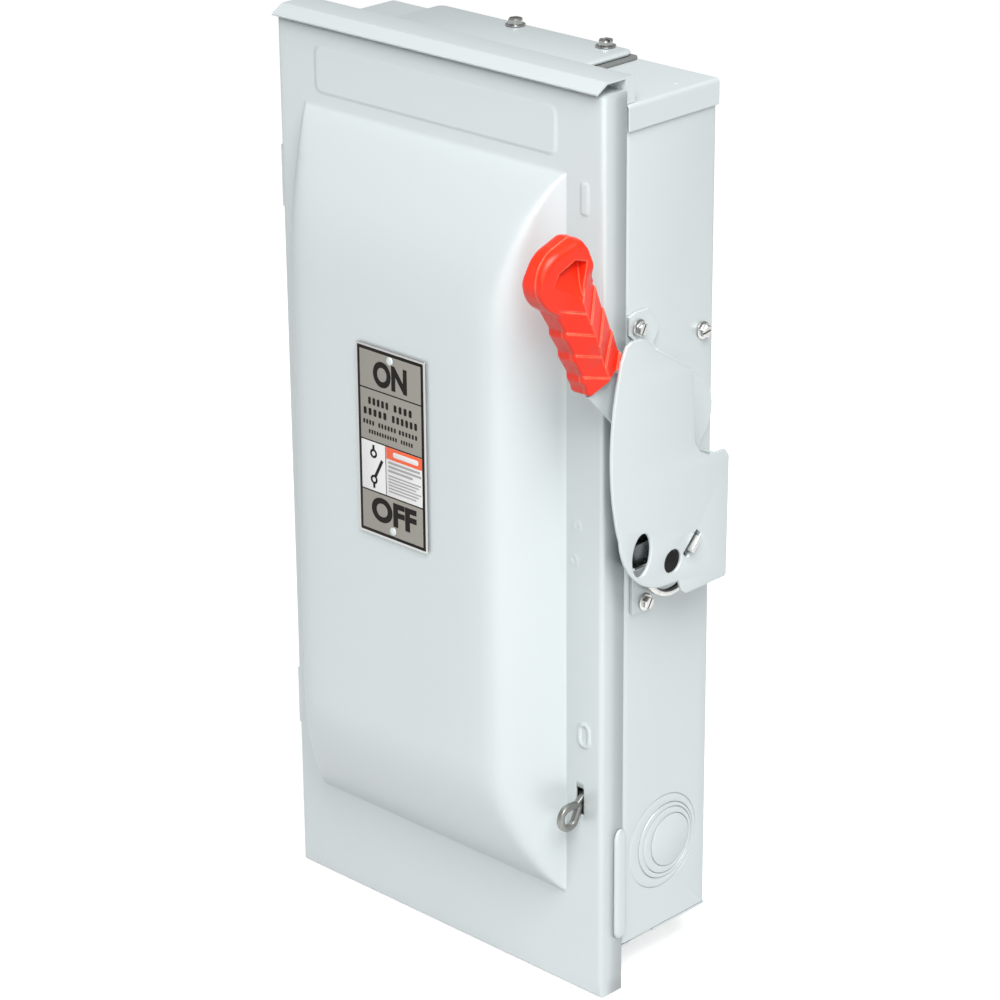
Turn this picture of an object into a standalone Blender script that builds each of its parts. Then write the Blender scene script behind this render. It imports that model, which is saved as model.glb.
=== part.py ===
"""Wall-mounted AC disconnect box: sheet-steel enclosure, domed door, side handle and knife switch.

The origin is the centre of the enclosure's back face, the wall is at y = 0 and the door faces -Y.
Shapes are written in millimetres and turned into metres when a mesh is made. Outlines that lie in a
plane are pairs: (y, z) across X, (x, z) across Y and (x, y) across Z.
"""

import math

import bmesh
import bpy
from mathutils import Vector

MM = 0.001
GAP = 0.3
SHEET = 1.6

# Enclosure
BOX_HALF_W = 135.0
BOX_DEPTH = 79.7
BOX_HALF_H = 272.0
BEND = 3.0
RETURN_FLANGE = 20.0
CAP_TOP = 274.0
CAP_DROP = 16.0

# Door
DOOR_HALF_W = 136.0
DOOR_TOP = 282.8
DOOR_BOTTOM = -302.2
DOOR_FRONT = -100.0
DOOR_REAR = -80.7
DOOR_EDGE_R = 3.0
DOME_HEIGHT = 40.0
DOME_LEFT, DOME_RIGHT = -112.6, 106.8
DOME_BOTTOM, DOME_TOP = -236.2, 232.5
DOME_DRAFT = 21.0
DOME_END = 90.0
DOME_SOFTNESS = 5.0

# Outside mechanism on the right wall
PIVOT_Y, PIVOT_Z = -50.0, 47.5
PLATE_OUT = BOX_HALF_W + GAP + 2.0
GUARD_OUT = 159.2
GUARD_T = 2.5
GRIP_MID = 149.5
GRIP_LEAN = math.radians(25.8)
GRIP_AXIS_T = -25.0
LEVER_X = (148.0, 151.0)

# Inside mechanism and switch
ROTOR_Y, ROTOR_Z = -54.0, 110.0
CRANK_R = 14.0
POLE_PITCH = 60.0
BLADE_REACH = 33.0
BLADE_HALF_W = 7.0
SHAFT_R = 7.0
ROTOR_SHAFT_R = 5.0

# Door hinge and latch
HINGE_X, HINGE_Y = -139.5, -80.0
LATCH_Y, LATCH_Z = -92.0, -165.0
LATCH_X = (115.9, 120.4)

# Finishes: colour, roughness, metallic
PAINT = ((0.60, 0.65, 0.66), 0.42, 0.0)
ZINC = ((0.62, 0.62, 0.60), 0.35, 0.9)
CAST_ZINC = ((0.46, 0.45, 0.42), 0.45, 0.85)
RED_PLASTIC = ((1.0, 0.045, 0.012), 0.4, 0.0)
BLACK_MOULDING = ((0.03, 0.03, 0.032), 0.5, 0.0)
COPPER = ((0.72, 0.40, 0.24), 0.3, 1.0)
ALUMINIUM = ((0.74, 0.75, 0.76), 0.35, 1.0)
GASKET = ((0.16, 0.17, 0.165), 0.7, 0.0)
LABEL = ((0.30, 0.28, 0.26), 0.35, 0.6)
SHIELD = ((0.55, 0.54, 0.50), 0.35, 0.0)


# ---------------------------------------------------------------- outlines


def arc(centre, radius, start, end, steps):
    """Points from start to end degrees, both included, about centre."""
    return [
        (
            centre[0] + radius * math.cos(math.radians(start + (end - start) * i / steps)),
            centre[1] + radius * math.sin(math.radians(start + (end - start) * i / steps)),
        )
        for i in range(steps + 1)
    ]


def circle(centre, radius, steps=32):
    """A closed circle of steps points."""
    return arc(centre, radius, 0.0, 360.0 * (steps - 1) / steps, steps - 1)


def rounded(corners, radius, steps=4):
    """A closed outline with each corner replaced by a tangent arc.

    radius is one number, or one for each corner.
    """
    radii = radius if isinstance(radius, (list, tuple)) else [radius] * len(corners)
    outline = []
    count = len(corners)
    for i in range(count):
        here = Vector(corners[i])
        back = (Vector(corners[i - 1]) - here).normalized()
        ahead = (Vector(corners[(i + 1) % count]) - here).normalized()
        angle = back.angle(ahead)
        if radii[i] <= 0.0 or angle > math.pi - 0.01:
            outline.append(tuple(here))
            continue
        reach = radii[i] / math.tan(angle / 2)
        centre = here + (back + ahead).normalized() * (radii[i] / math.sin(angle / 2))
        first = here + back * reach - centre
        last = here + ahead * reach - centre
        for j in range(steps + 1):
            ray = first.slerp(last, j / steps).normalized() * radii[i]
            outline.append(tuple(centre + ray))
    return outline


def rectangle(low, high):
    """The four corners of a rectangle, anticlockwise."""
    return [(low[0], low[1]), (high[0], low[1]), (high[0], high[1]), (low[0], high[1])]


def sheet_strip(path, thickness, bend=BEND, steps=3):
    """The closed outline of a bent sheet.

    path is its outer line and the sheet's thickness lies to the left of it. Each bend has the
    radius bend on the outer line and bend - thickness on the inner one.
    """
    outer, inner = [], []
    for i, point in enumerate(path):
        here = Vector(point)
        if i in (0, len(path) - 1):
            other = Vector(path[1] if i == 0 else path[-2])
            along = (other - here).normalized() if i == 0 else (here - other).normalized()
            outer.append(here)
            inner.append(here + Vector((-along.y, along.x)) * thickness)
            continue
        before = (here - Vector(path[i - 1])).normalized()
        after = (Vector(path[i + 1]) - here).normalized()
        left = before.x * after.y - before.y * after.x > 0
        radius = bend if left else max(bend - thickness, 0.4)
        side = 1.0 if left else -1.0
        turn = before.angle(after)
        reach = radius * math.tan(turn / 2)
        start = here - before * reach
        centre = start + Vector((-before.y, before.x)) * radius * side
        for j in range(steps + 1):
            angle = side * turn * j / steps
            spoke = start - centre
            ray = Vector(
                (
                    spoke.x * math.cos(angle) - spoke.y * math.sin(angle),
                    spoke.x * math.sin(angle) + spoke.y * math.cos(angle),
                )
            )
            outer.append(centre + ray)
            inner.append(centre + ray * (radius - side * thickness) / radius)
    return [tuple(p) for p in outer] + [tuple(p) for p in reversed(inner)]


# ---------------------------------------------------------------- solids


def place(axis, pair, along):
    """The point of a plane outline in space, in metres."""
    order = {"X": (along, pair[0], pair[1]), "Y": (pair[0], along, pair[1]), "Z": (pair[0], pair[1], along)}
    return [value * MM for value in order[axis]]


def solid_from(shape, name="shape"):
    """An object that owns the closed bmesh shape, with its normals outward."""
    bmesh.ops.recalc_face_normals(shape, faces=shape.faces)
    mesh = bpy.data.meshes.new(name)
    shape.to_mesh(mesh)
    shape.free()
    item = bpy.data.objects.new(name, mesh)
    bpy.context.scene.collection.objects.link(item)
    return item


def prism(axis, outline, low, high):
    """A plane outline extruded from low to high along an axis."""
    shape = bmesh.new()
    bottom = [shape.verts.new(place(axis, pair, low)) for pair in outline]
    top = [shape.verts.new(place(axis, pair, high)) for pair in outline]
    shape.faces.new(bottom)
    shape.faces.new(list(reversed(top)))
    for i in range(len(outline)):
        j = (i + 1) % len(outline)
        shape.faces.new((bottom[j], bottom[i], top[i], top[j]))
    return solid_from(shape)


def block(low, high):
    """A box between two corners."""
    return prism("X", rectangle(low[1:], high[1:]), low[0], high[0])


def rod(axis, centre, radius, low, high, steps=32):
    """A cylinder along an axis."""
    return prism(axis, circle(centre, radius, steps), low, high)


def turned(axis, centre, stations, steps=32):
    """A turned solid: rings of (along, radius), closed by flat ends."""
    shape = bmesh.new()
    rings = [
        [shape.verts.new(place(axis, pair, along)) for pair in circle(centre, radius, steps)]
        for along, radius in stations
    ]
    shape.faces.new(rings[0])
    shape.faces.new(list(reversed(rings[-1])))
    for lower, upper in zip(rings, rings[1:]):
        for i in range(steps):
            j = (i + 1) % steps
            shape.faces.new((lower[j], lower[i], upper[i], upper[j]))
    return solid_from(shape)


def combine(target, tools, operation):
    """Joins or cuts target with each tool, and removes the tools."""
    for tool in tools:
        modifier = target.modifiers.new(operation.title(), "BOOLEAN")
        modifier.operation = operation
        modifier.solver = "EXACT"
        modifier.object = tool
    bpy.context.view_layer.update()
    evaluated = target.evaluated_get(bpy.context.evaluated_depsgraph_get())
    mesh = bpy.data.meshes.new_from_object(evaluated)
    target.modifiers.clear()
    target.data = mesh
    for tool in tools:
        bpy.data.objects.remove(tool)
    return target


def joined(target, *tools):
    """target united with every tool."""
    return combine(target, tools, "UNION")


def cut(target, *tools):
    """target with every tool taken out of it."""
    return combine(target, tools, "DIFFERENCE")


def bevelled(item, width, segments=2, angle=40.0):
    """Rounds the edges sharper than angle degrees."""
    modifier = item.modifiers.new("Bevel", "BEVEL")
    modifier.width = width * MM
    modifier.segments = segments
    modifier.limit_method = "ANGLE"
    modifier.angle_limit = math.radians(angle)
    return item


def coil(axis_y, axis_z, radius, wire, low, high, turns):
    """A helical wire along X."""
    curve = bpy.data.curves.new("coil", "CURVE")
    curve.dimensions = "3D"
    curve.bevel_depth = wire * MM
    curve.bevel_resolution = 1
    curve.use_fill_caps = True
    spline = curve.splines.new("POLY")
    steps = turns * 14
    spline.points.add(steps)
    for i, point in enumerate(spline.points):
        angle = 2 * math.pi * turns * i / steps
        x = low + (high - low) * i / steps
        y = axis_y + radius * math.cos(angle)
        z = axis_z + radius * math.sin(angle)
        point.co = (x * MM, y * MM, z * MM, 1.0)
    item = bpy.data.objects.new("coil", curve)
    bpy.context.scene.collection.objects.link(item)
    return item


# ---------------------------------------------------------------- nodes


def node(name, item, finish, parent=None):
    """Names an object as a sub-part, gives it its own material and hangs it on its joint."""
    item.name = name
    item.data.name = name
    colour, roughness, metallic = finish
    material = bpy.data.materials.new(name)
    material.use_nodes = True
    surface = material.node_tree.nodes["Principled BSDF"]
    surface.inputs["Base Color"].default_value = (*colour, 1.0)
    surface.inputs["Roughness"].default_value = roughness
    surface.inputs["Metallic"].default_value = metallic
    item.data.materials.clear()
    item.data.materials.append(material)
    if item.type == "MESH":
        item.data.shade_smooth()
        item.data.set_sharp_from_angle(angle=math.radians(30))
    if parent:
        item.parent = parent
        item.matrix_parent_inverse = parent.matrix_world.inverted()
    return item


def pivot(name, x, y, z, parent=None):
    """An empty on a joint's axis."""
    empty = bpy.data.objects.new(name, None)
    empty.location = (x * MM, y * MM, z * MM)
    bpy.context.scene.collection.objects.link(empty)
    bpy.context.view_layer.update()
    if parent:
        empty.parent = parent
        empty.matrix_parent_inverse = parent.matrix_world.inverted()
        bpy.context.view_layer.update()
    return empty


def hex_screw(axis, centre, seat, outward, radius=4.6, height=4.5):
    """A slotted hex washer-head screw that stands on seat and points outward (+1 or -1)."""
    washer = seat + outward * 1.2
    top = seat + outward * height
    item = rod(axis, centre, radius * 1.38, min(seat, washer), max(seat, washer), 24)
    head = prism(axis, circle(centre, radius, 6), min(seat, top), max(seat, top))
    joined(item, head)
    slot_end = top + outward
    slot_floor = top - outward * 1.3
    slot = rectangle((centre[0] - 2 * radius, centre[1] - 0.6), (centre[0] + 2 * radius, centre[1] + 0.6))
    return cut(item, prism(axis, slot, min(slot_floor, slot_end), max(slot_floor, slot_end)))


# ---------------------------------------------------------------- enclosure


def knockout_circle(radius):
    """Centre of a knockout circle: the smaller it is, the nearer it lies to the back."""
    shift = 0.56 * (31.3 - radius)
    return (-41.5 + 0.96 * shift, -212.7 - 0.28 * shift)


KNOCKOUT_RADII = (31.3, 25.1, 22.0, 17.4)


def enclosure_body():
    """Back, both sides and front return flanges in one bent sheet, with its openings."""
    front = BOX_HALF_W - RETURN_FLANGE
    path = [
        (-front, -BOX_DEPTH),
        (-BOX_HALF_W, -BOX_DEPTH),
        (-BOX_HALF_W, 0.0),
        (BOX_HALF_W, 0.0),
        (BOX_HALF_W, -BOX_DEPTH),
        (front, -BOX_DEPTH),
    ]
    outline = sheet_strip([(x, -y) for x, y in path], SHEET)
    outline = [(x, -y) for x, y in outline]
    body = prism("Z", outline, -BOX_HALF_H, BOX_HALF_H)
    wall = (BOX_HALF_W - 5.0, BOX_HALF_W + 5.0)
    tools = [
        rod("X", (PIVOT_Y, PIVOT_Z), 14.0, *wall),
        rod("X", knockout_circle(KNOCKOUT_RADII[0]), KNOCKOUT_RADII[0] + GAP, *wall, 48),
    ]
    for x in (-95.0, 95.0):
        for z in (-245.0, 245.0):
            tools.append(rod("Y", (x, z), 4.0, -5.0, 5.0, 20))
    return cut(body, *tools)


def knockout_rings():
    """Concentric rings of the side knockout and the slug in their middle."""
    wall = (BOX_HALF_W - SHEET, BOX_HALF_W)
    for i, radius in enumerate(KNOCKOUT_RADII):
        ring = rod("X", knockout_circle(radius), radius, *wall, 48)
        if i + 1 < len(KNOCKOUT_RADII):
            inner = KNOCKOUT_RADII[i + 1]
            hole = rod("X", knockout_circle(inner), inner + GAP, wall[0] - 2, wall[1] + 2, 48)
            ring = cut(ring, hole)
        node(f"knockout_ring_{i + 1}", ring, PAINT)


def top_endwall():
    """The cap that closes the top, with a flange down each side."""
    low = CAP_TOP - CAP_DROP
    half = BOX_HALF_W + GAP + 1.5
    path = [(half, low), (half, CAP_TOP), (-half, CAP_TOP), (-half, low)]
    return prism("Y", sheet_strip(path, 1.5, 2.6), -BOX_DEPTH + GAP, -GAP)


def bottom_endwall():
    """The plate that closes the bottom, with flanges up inside the sides."""
    top = -BOX_HALF_H - GAP
    plate = block((-BOX_HALF_W, -BOX_DEPTH + GAP, top - 1.8), (BOX_HALF_W, -GAP, top))
    inside = BOX_HALF_W - SHEET - GAP
    flanges = [
        block((min(s * inside, s * (inside - 1.5)), -BOX_DEPTH + 8.0, top - 1.0),
              (max(s * inside, s * (inside - 1.5)), -8.0, top + 16.0))
        for s in (-1, 1)
    ]
    joined(plate, *flanges)
    notches = [
        block((min(s * 133.4, s * 137.0), -72.0, top - 3.0), (max(s * 133.4, s * 137.0), -50.0, top + 1.0))
        for s in (-1, 1)
    ]
    return cut(plate, *notches)


def drip_hood():
    """Rain hood: a lip over the door's top edge on a channel that stands on the cap."""
    half = BOX_HALF_W - 0.3
    top = 290.5
    foot = CAP_TOP + GAP
    path = [(-72.6, foot), (-72.6, top), (-96.0, top), (-105.2, 285.2)]
    hood = prism("X", sheet_strip(path, 1.3, 2.2), -half, half)
    walls = [block((-half, -80.0, foot), (half, -78.7, top - 0.6))]
    walls += [
        block((min(s * half, s * (half - 1.5)), -80.0, foot), (max(s * half, s * (half - 1.5)), -73.2, top - 0.6))
        for s in (-1, 1)
    ]
    return joined(hood, *walls)


def hub_cover():
    """Cover plate over the conduit hub opening, its gasket and two screws."""
    low, high = (-90.0, -66.0), (72.0, -2.5)
    seat = CAP_TOP + GAP
    gasket = prism("Z", rounded(rectangle((-91.5, -68.0), (75.0, -1.0)), 4.0), seat, seat + 1.8)
    node("hub_gasket", gasket, GASKET)
    bottom = seat + 1.8 + GAP
    top = bottom + 3.2
    plate = prism("Z", rounded(rectangle(low, high), 6.0), bottom, top)
    node("hub_cover_plate", bevelled(plate, 1.6), PAINT)
    for name, x in (("left", -19.4), ("right", 55.0)):
        screw = hex_screw("Z", (x, -9.5), top + GAP, 1)
        node(f"hub_screw_{name}", screw, ZINC)


def door_guard_bead():
    """Anti-pry bead that overlaps the door's edge at the lower right."""
    outline = rounded([(-89.0, -265.0), (-83.5, -269.0), (-78.0, -265.0), (-78.0, -196.0),
                       (-83.5, -189.0), (-89.0, -196.0)], 2.5)
    bead = bevelled(prism("X", outline, DOOR_HALF_W + GAP, DOOR_HALF_W + 3.0), 1.8, 2)
    foot = block((BOX_HALF_W + GAP, -79.8, -262.0), (DOOR_HALF_W + 1.2, -78.2, -198.0))
    return joined(bead, foot)


def enclosure():
    """Every fixed sheet-metal piece of the box."""
    node("enclosure_body", enclosure_body(), PAINT)
    knockout_rings()
    node("top_endwall", top_endwall(), PAINT)
    node("bottom_endwall", bottom_endwall(), PAINT)
    node("drip_hood", drip_hood(), PAINT)
    hub_cover()
    node("door_guard_bead", door_guard_bead(), PAINT)


# ---------------------------------------------------------------- door


def dome(x, z):
    """Height of the drawn panel above the door's face.

    It is a soft minimum, (sum of a**-p)**(-1/p), of the drafted left and right walls and of the
    two ends, which rise as h * sin(pi/2 * d / DOME_END)**0.8 over the distance d from an end.
    """
    left = (x - DOME_LEFT) / DOME_DRAFT * DOME_HEIGHT
    right = (DOME_RIGHT - x) / DOME_DRAFT * DOME_HEIGHT
    reach = min(z - DOME_BOTTOM, DOME_TOP - z)
    if min(left, right, reach) <= 0.0:
        return 0.0
    rise = math.sin(math.pi / 2 * min(reach / DOME_END, 1.0)) ** 0.8
    end = 1.04 * DOME_HEIGHT * rise
    total = left ** -DOME_SOFTNESS + right ** -DOME_SOFTNESS + end ** -DOME_SOFTNESS
    return total ** (-1.0 / DOME_SOFTNESS)


def spaced(low, high, steps, ends):
    """Positions from low to high, closer together near both when ends is above 0."""
    values = []
    for i in range(steps + 1):
        share = i / steps
        eased = 0.5 - 0.5 * math.cos(math.pi * share)
        values.append(low + (high - low) * ((1 - ends) * share + ends * eased))
    return values


def door_shell():
    """Door pan: drawn front panel, rounded edges and a flange all round."""
    inset = DOOR_EDGE_R
    xs = [-DOOR_HALF_W + inset, *spaced(DOME_LEFT, DOME_RIGHT, 20, 0.85), DOOR_HALF_W - inset]
    zs = [DOOR_BOTTOM + inset, *spaced(DOME_BOTTOM, DOME_TOP, 28, 0.75), DOOR_TOP - inset]
    shape = bmesh.new()
    grid = [[shape.verts.new(place("Y", (x, z), DOOR_FRONT - dome(x, z))) for z in zs] for x in xs]
    for i in range(len(xs) - 1):
        for j in range(len(zs) - 1):
            shape.faces.new((grid[i][j], grid[i + 1][j], grid[i + 1][j + 1], grid[i][j + 1]))
    last_x, last_z = len(xs) - 1, len(zs) - 1
    border = [(i, 0) for i in range(last_x)] + [(last_x, j) for j in range(last_z)]
    border += [(i, last_z) for i in range(last_x, 0, -1)] + [(0, j) for j in range(last_z, 0, -1)]
    ring = [grid[i][j] for i, j in border]
    steps = [(30.0, 0.0), (60.0, 0.0), (90.0, 0.0), (90.0, -DOOR_FRONT + DOOR_REAR - inset)]
    for angle, extra in steps:
        out = inset * math.sin(math.radians(angle))
        back = inset * (1 - math.cos(math.radians(angle))) + extra
        lower = []
        for i, j in border:
            side_x = (i == last_x) - (i == 0)
            side_z = (j == last_z) - (j == 0)
            pair = (xs[i] + side_x * out, zs[j] + side_z * out)
            lower.append(shape.verts.new(place("Y", pair, DOOR_FRONT + back)))
        for k in range(len(ring)):
            n = (k + 1) % len(ring)
            shape.faces.new((ring[k], lower[k], lower[n], ring[n]))
        ring = lower
    shell = solid_from(shape)
    if shell.data.polygons[0].normal.y > 0:
        shell.data.flip_normals()
    thick = shell.modifiers.new("Solidify", "SOLIDIFY")
    thick.thickness = 1.5 * MM
    thick.offset = -1.0
    slot = prism("Y", rounded(rectangle((115.0, -177.8), (121.3, -159.3)), 1.2, 2), -104.0, -96.0)
    return cut(shell, slot)


def nameplate():
    """Printed metal plate on the dome's flat front, and the two rivets that hold it."""
    face = DOOR_FRONT - dome(0.0, 0.0)
    outline = rounded(rectangle((-27.9, -15.3), (31.5, 108.9)), 1.5, 2)
    plate = prism("Y", outline, face - GAP - 0.8, face - GAP)
    holes = [rod("Y", (1.8, z), 1.6, face - 3.0, face + 3.0, 16) for z in (-8.5, 102.5)]
    cut(plate, *holes)
    return plate, face - GAP - 0.8


def door_hinge_leaf(z):
    """Door half of a hinge: a leaf outside the door's left flange and one knuckle."""
    out = -DOOR_HALF_W - GAP
    leaf = block((out - 1.5, -98.0, z - 20.0), (out, -83.7, z + 20.0))
    arm = block((HINGE_X - 1.2, -84.6, z - 9.7), (out - 0.1, -80.5, z + 9.7))
    knuckle = rod("Z", (HINGE_X, HINGE_Y), 3.1, z - 9.7, z + 9.7, 20)
    joined(leaf, arm, knuckle)
    return cut(leaf, rod("Z", (HINGE_X, HINGE_Y), 1.8, z - 20.0, z + 20.0, 16))


def box_hinge_leaf(z):
    """Box half of a hinge: a leaf on the box's left side, two knuckles and the pin."""
    out = -BOX_HALF_W - GAP
    leaf = block((out - 1.5, -76.0, z - 20.0), (out, -52.0, z + 20.0))
    parts = [rod("Z", (HINGE_X, HINGE_Y), 1.4, z - 21.5, z + 21.5, 16)]
    for low, high in ((z - 20.0, z - 10.0), (z + 10.0, z + 20.0)):
        parts.append(rod("Z", (HINGE_X, HINGE_Y), 3.1, low, high, 20))
        parts.append(block((HINGE_X - 0.6, -79.0, low), (out - 0.1, -74.0, high)))
    return joined(leaf, *parts)


def latch_bracket():
    """Bracket behind the door's slot with the latch pin across it."""
    rear = DOOR_FRONT + 1.5 + GAP
    plate = block((108.0, rear, -184.0), (127.0, rear + 1.5, -146.0))
    cut(plate, block((114.4, rear - 2.0, -179.0), (121.9, rear + 4.0, -157.0)))
    ears = [block((x, rear + 0.5, LATCH_Z - 7.0), (x + 2.0, LATCH_Y + 4.5, LATCH_Z + 7.0)) for x in (108.0, 125.0)]
    return joined(plate, *ears, rod("X", (LATCH_Y, LATCH_Z), 1.9, 109.0, 126.0, 16))


def latch_ring():
    """Pull ring with the padlock eye, hinged on the bracket's pin, with its hook inside."""
    low, high = LATCH_X
    eye = (-110.3, -177.6)
    ring = rod("X", eye, 8.8, low, high, 28)
    lean = math.degrees(math.atan2(eye[1] - LATCH_Z, eye[0] - LATCH_Y))
    side = Vector((math.cos(math.radians(lean + 90)), math.sin(math.radians(lean + 90)))) * 3.6
    hub = Vector((LATCH_Y, LATCH_Z))
    tip = Vector(eye)
    stem = [tuple(hub + side), tuple(hub - side), tuple(tip - side * 1.9), tuple(tip + side * 1.9)]
    hook = [(-93.0, -163.5), (-88.4, -166.0), (-85.2, -155.0), (-88.7, -154.0)]
    joined(ring, prism("X", stem, low, high), rod("X", tuple(hub), 4.6, low, high, 20), prism("X", hook, low, high))
    teardrop = [*arc(eye, 4.6, lean + 250.0, lean + 470.0, 12), tuple(tip + (hub - tip).normalized() * 8.6)]
    return cut(ring, prism("X", teardrop, low - 1, high + 1), rod("X", tuple(hub), 2.3, low - 1, high + 1, 16))


def door():
    """The door with all that it carries, and both hinges."""
    hinge = pivot("door_hinge", HINGE_X, HINGE_Y, 0.0)
    node("door_shell", door_shell(), PAINT, hinge)
    plate, front = nameplate()
    node("nameplate", plate, LABEL, hinge)
    for name, z in (("top", 102.5), ("bottom", -8.5)):
        rivet = turned("Y", (1.8, z), [(front - 1.3, 1.2), (front - 1.1, 2.0), (front - 0.5, 2.6),
                                       (front - GAP, 2.7)], 16)
        node(f"nameplate_rivet_{name}", rivet, ZINC, hinge)
    for name, z in (("upper", 180.0), ("lower", -180.0)):
        node(f"hinge_{name}_door_leaf", door_hinge_leaf(z), PAINT, hinge)
        node(f"hinge_{name}_box_leaf", box_hinge_leaf(z), PAINT)
    node("latch_bracket", latch_bracket(), ZINC, hinge)
    latch = pivot("latch_pivot", 118.0, LATCH_Y, LATCH_Z, hinge)
    node("latch_ring", latch_ring(), CAST_ZINC, latch)


# ---------------------------------------------------------------- outside mechanism


def base_plate():
    """Plate on the right wall that carries the handle's bearing and the guard."""
    outline = [(-74.5, -45.6), (-44.0, -45.6), (-40.0, -34.5), (-15.0, -34.5), (-15.0, 44.0)]
    outline += arc((-30.0, 71.0), 26.8, -52.0, 62.0, 10)
    outline += [(-45.0, 110.0), (-57.4, 124.8), (-51.9, 133.2), (-62.0, 147.6), (-72.5, 147.6), (-78.6, 145.8)]
    outline += [(-78.6, 134.4), (-74.5, 131.0)]
    plate = prism("X", outline, BOX_HALF_W + GAP, PLATE_OUT)
    return cut(plate, rod("X", (PIVOT_Y, PIVOT_Z), SHAFT_R + 0.4, PLATE_OUT - 5.0, PLATE_OUT + 5.0))


def guard_outline():
    """The guard's face: a long front arc, a lower lobe with its notches and a top tip."""
    corners = [(-56.9, -22.0), (-54.3, -29.3), (-50.5, -32.6), (-12.8, -32.6), (-12.0, 46.4), (-15.5, 51.4)]
    corners += [(-29.8, 51.6), (-38.1, 56.3), (-43.9, 64.0), (-45.6, 104.0), (-47.5, 111.3), (-77.8, 130.8)]
    radii = [1.0, 2.0, 2.0, 2.5, 2.5, 2.0, 3.0, 4.0, 6.0, 4.0, 4.0, 3.0]
    tip = [(-87.4, 139.7), (-91.5, 141.4), (-100.6, 141.9), (-105.2, 139.8), (-109.4, 131.0)]
    front = arc((84.4, 72.8), 202.0, 165.7, 193.7, 9)
    lobe = arc((-66.0, 22.3), 44.0, 184.0, 262.0, 7)
    chain = [*corners, *tip, *front, *lobe]
    return rounded(chain, radii + [0.0] * (len(chain) - len(corners)), 3)


def handle_guard():
    """Fixed guard plate over the handle's hub, with padlock holes, slot and return walls."""
    face = (GUARD_OUT - GUARD_T, GUARD_OUT)
    guard = prism("X", guard_outline(), *face)
    foot = PLATE_OUT + GAP
    rear = block((foot, -14.5, -31.6), (face[1] - 1.0, -12.2, 45.4))
    ledge = rounded([(-47.0, 112.2), (-77.6, 131.9), (-78.9, 129.9), (-48.2, 110.2)], 0.4, 2)
    joined(guard, rear, prism("X", ledge, foot, face[1] - 1.0))
    through = (face[0] - 2.0, face[1] + 2.0)
    slot_ends = (Vector((-40.9, 3.1)), Vector((-49.5, -5.7)))
    lean = math.degrees(math.atan2(slot_ends[1].y - slot_ends[0].y, slot_ends[1].x - slot_ends[0].x))
    slot = arc(slot_ends[0], 2.6, lean + 90, lean + 270, 6) + arc(slot_ends[1], 2.6, lean - 90, lean + 90, 6)
    oval_tilt = math.radians(84.0)
    oval = []
    for step in range(28):
        angle = 2 * math.pi * step / 28
        along, across = 13.6 * math.cos(angle), 8.2 * math.sin(angle)
        oval.append((-90.5 + along * math.cos(oval_tilt) - across * math.sin(oval_tilt),
                     5.0 + along * math.sin(oval_tilt) + across * math.cos(oval_tilt)))
    tools = [prism("X", slot, *through), prism("X", oval, *through), rod("X", (-62.5, -7.5), 7.5, *through, 28)]
    return cut(guard, *tools)


def padlock_plate():
    """Zinc plate behind the guard that a padlock's shackle passes through."""
    low, high = 141.2, 143.2
    outline = rounded([(-88.0, 18.0), (-88.0, -4.0), (-73.5, -7.5), (-72.5, -22.0), (-54.0, -38.0),
                       (-36.0, -40.0), (-24.0, -28.0), (-24.0, -8.0), (-58.0, 10.0), (-66.0, 18.0)],
                      [4.0, 3.0, 2.0, 8.0, 12.0, 12.0, 8.0, 4.0, 6.0, 4.0], 3)
    plate = prism("X", outline, low, high)
    posts = [rod("X", centre, 3.4, PLATE_OUT + GAP, low + 0.5, 16) for centre in ((-64.0, 8.0), (-30.0, -24.0))]
    return cut(joined(plate, *posts), rod("X", (-62.5, -7.5), 7.6, low - 1, high + 1, 28))


def interlock_tab():
    """Defeater tab that slides in the guard's slanted slot."""
    middle = Vector((-44.9, -0.9))
    along = Vector((-0.70, -0.714))
    across = Vector((0.714, -0.70))
    corners = [middle + along * a * 5.6 + across * b * 1.5 for a, b in ((-1, -1), (1, -1), (1, 1), (-1, 1))]
    tab = prism("X", [tuple(c) for c in corners], 146.0, GUARD_OUT + 3.5)
    plate = [middle + along * a * 6.0 + across * b * 5.0 for a, b in ((-1, -1), (1, -1), (1, 1), (-1, 1))]
    return joined(tab, prism("X", [tuple(c) for c in plate], 144.5, 146.6))


def grip_point(s, t):
    """A point of the grip: s along its length from the pivot, t across it."""
    up = (-math.sin(GRIP_LEAN), math.cos(GRIP_LEAN))
    across = (math.cos(GRIP_LEAN), math.sin(GRIP_LEAN))
    return (PIVOT_Y + s * up[0] + t * across[0], PIVOT_Z + s * up[1] + t * across[1])


def grip_outline():
    """The grip's side outline: a head with one square corner on a straight shaft with a flat foot."""
    head = arc((173.6, -29.0), 20.3, -134.0, 8.0, 12)
    pairs = [(97.5, -10.6), (121.0, -10.9), (163.0, -10.9), (171.0, -9.0), (181.0, -8.6), (187.0, -9.2)]
    pairs += [(190.2, -12.2), (191.8, -17.5), (193.2, -22.5)]
    pairs += [(s, t) for s, t in reversed(head)]
    pairs += [(157.0, -43.2), (99.0, -43.4), (94.5, -41.0), (94.5, -30.0), (95.5, -17.0)]
    return [grip_point(s, t) for s, t in pairs]


def lever_outline():
    """The steel lever: a hub disc round the pivot, an arm and a tang inside the grip."""
    hub = (0.0, 0.0)
    pairs = arc(hub, 17.0, 255.0, 75.0, 12)
    pairs += [(88.0, -15.0), (93.0, -18.0), (150.0, -18.5), (154.0, -22.0), (154.0, -28.0), (150.0, -31.5)]
    pairs += [(94.0, -32.2), (94.0, -42.4), (64.0, -32.2), (30.0, -22.6)]
    return [grip_point(s, t) for s, t in pairs]


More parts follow.
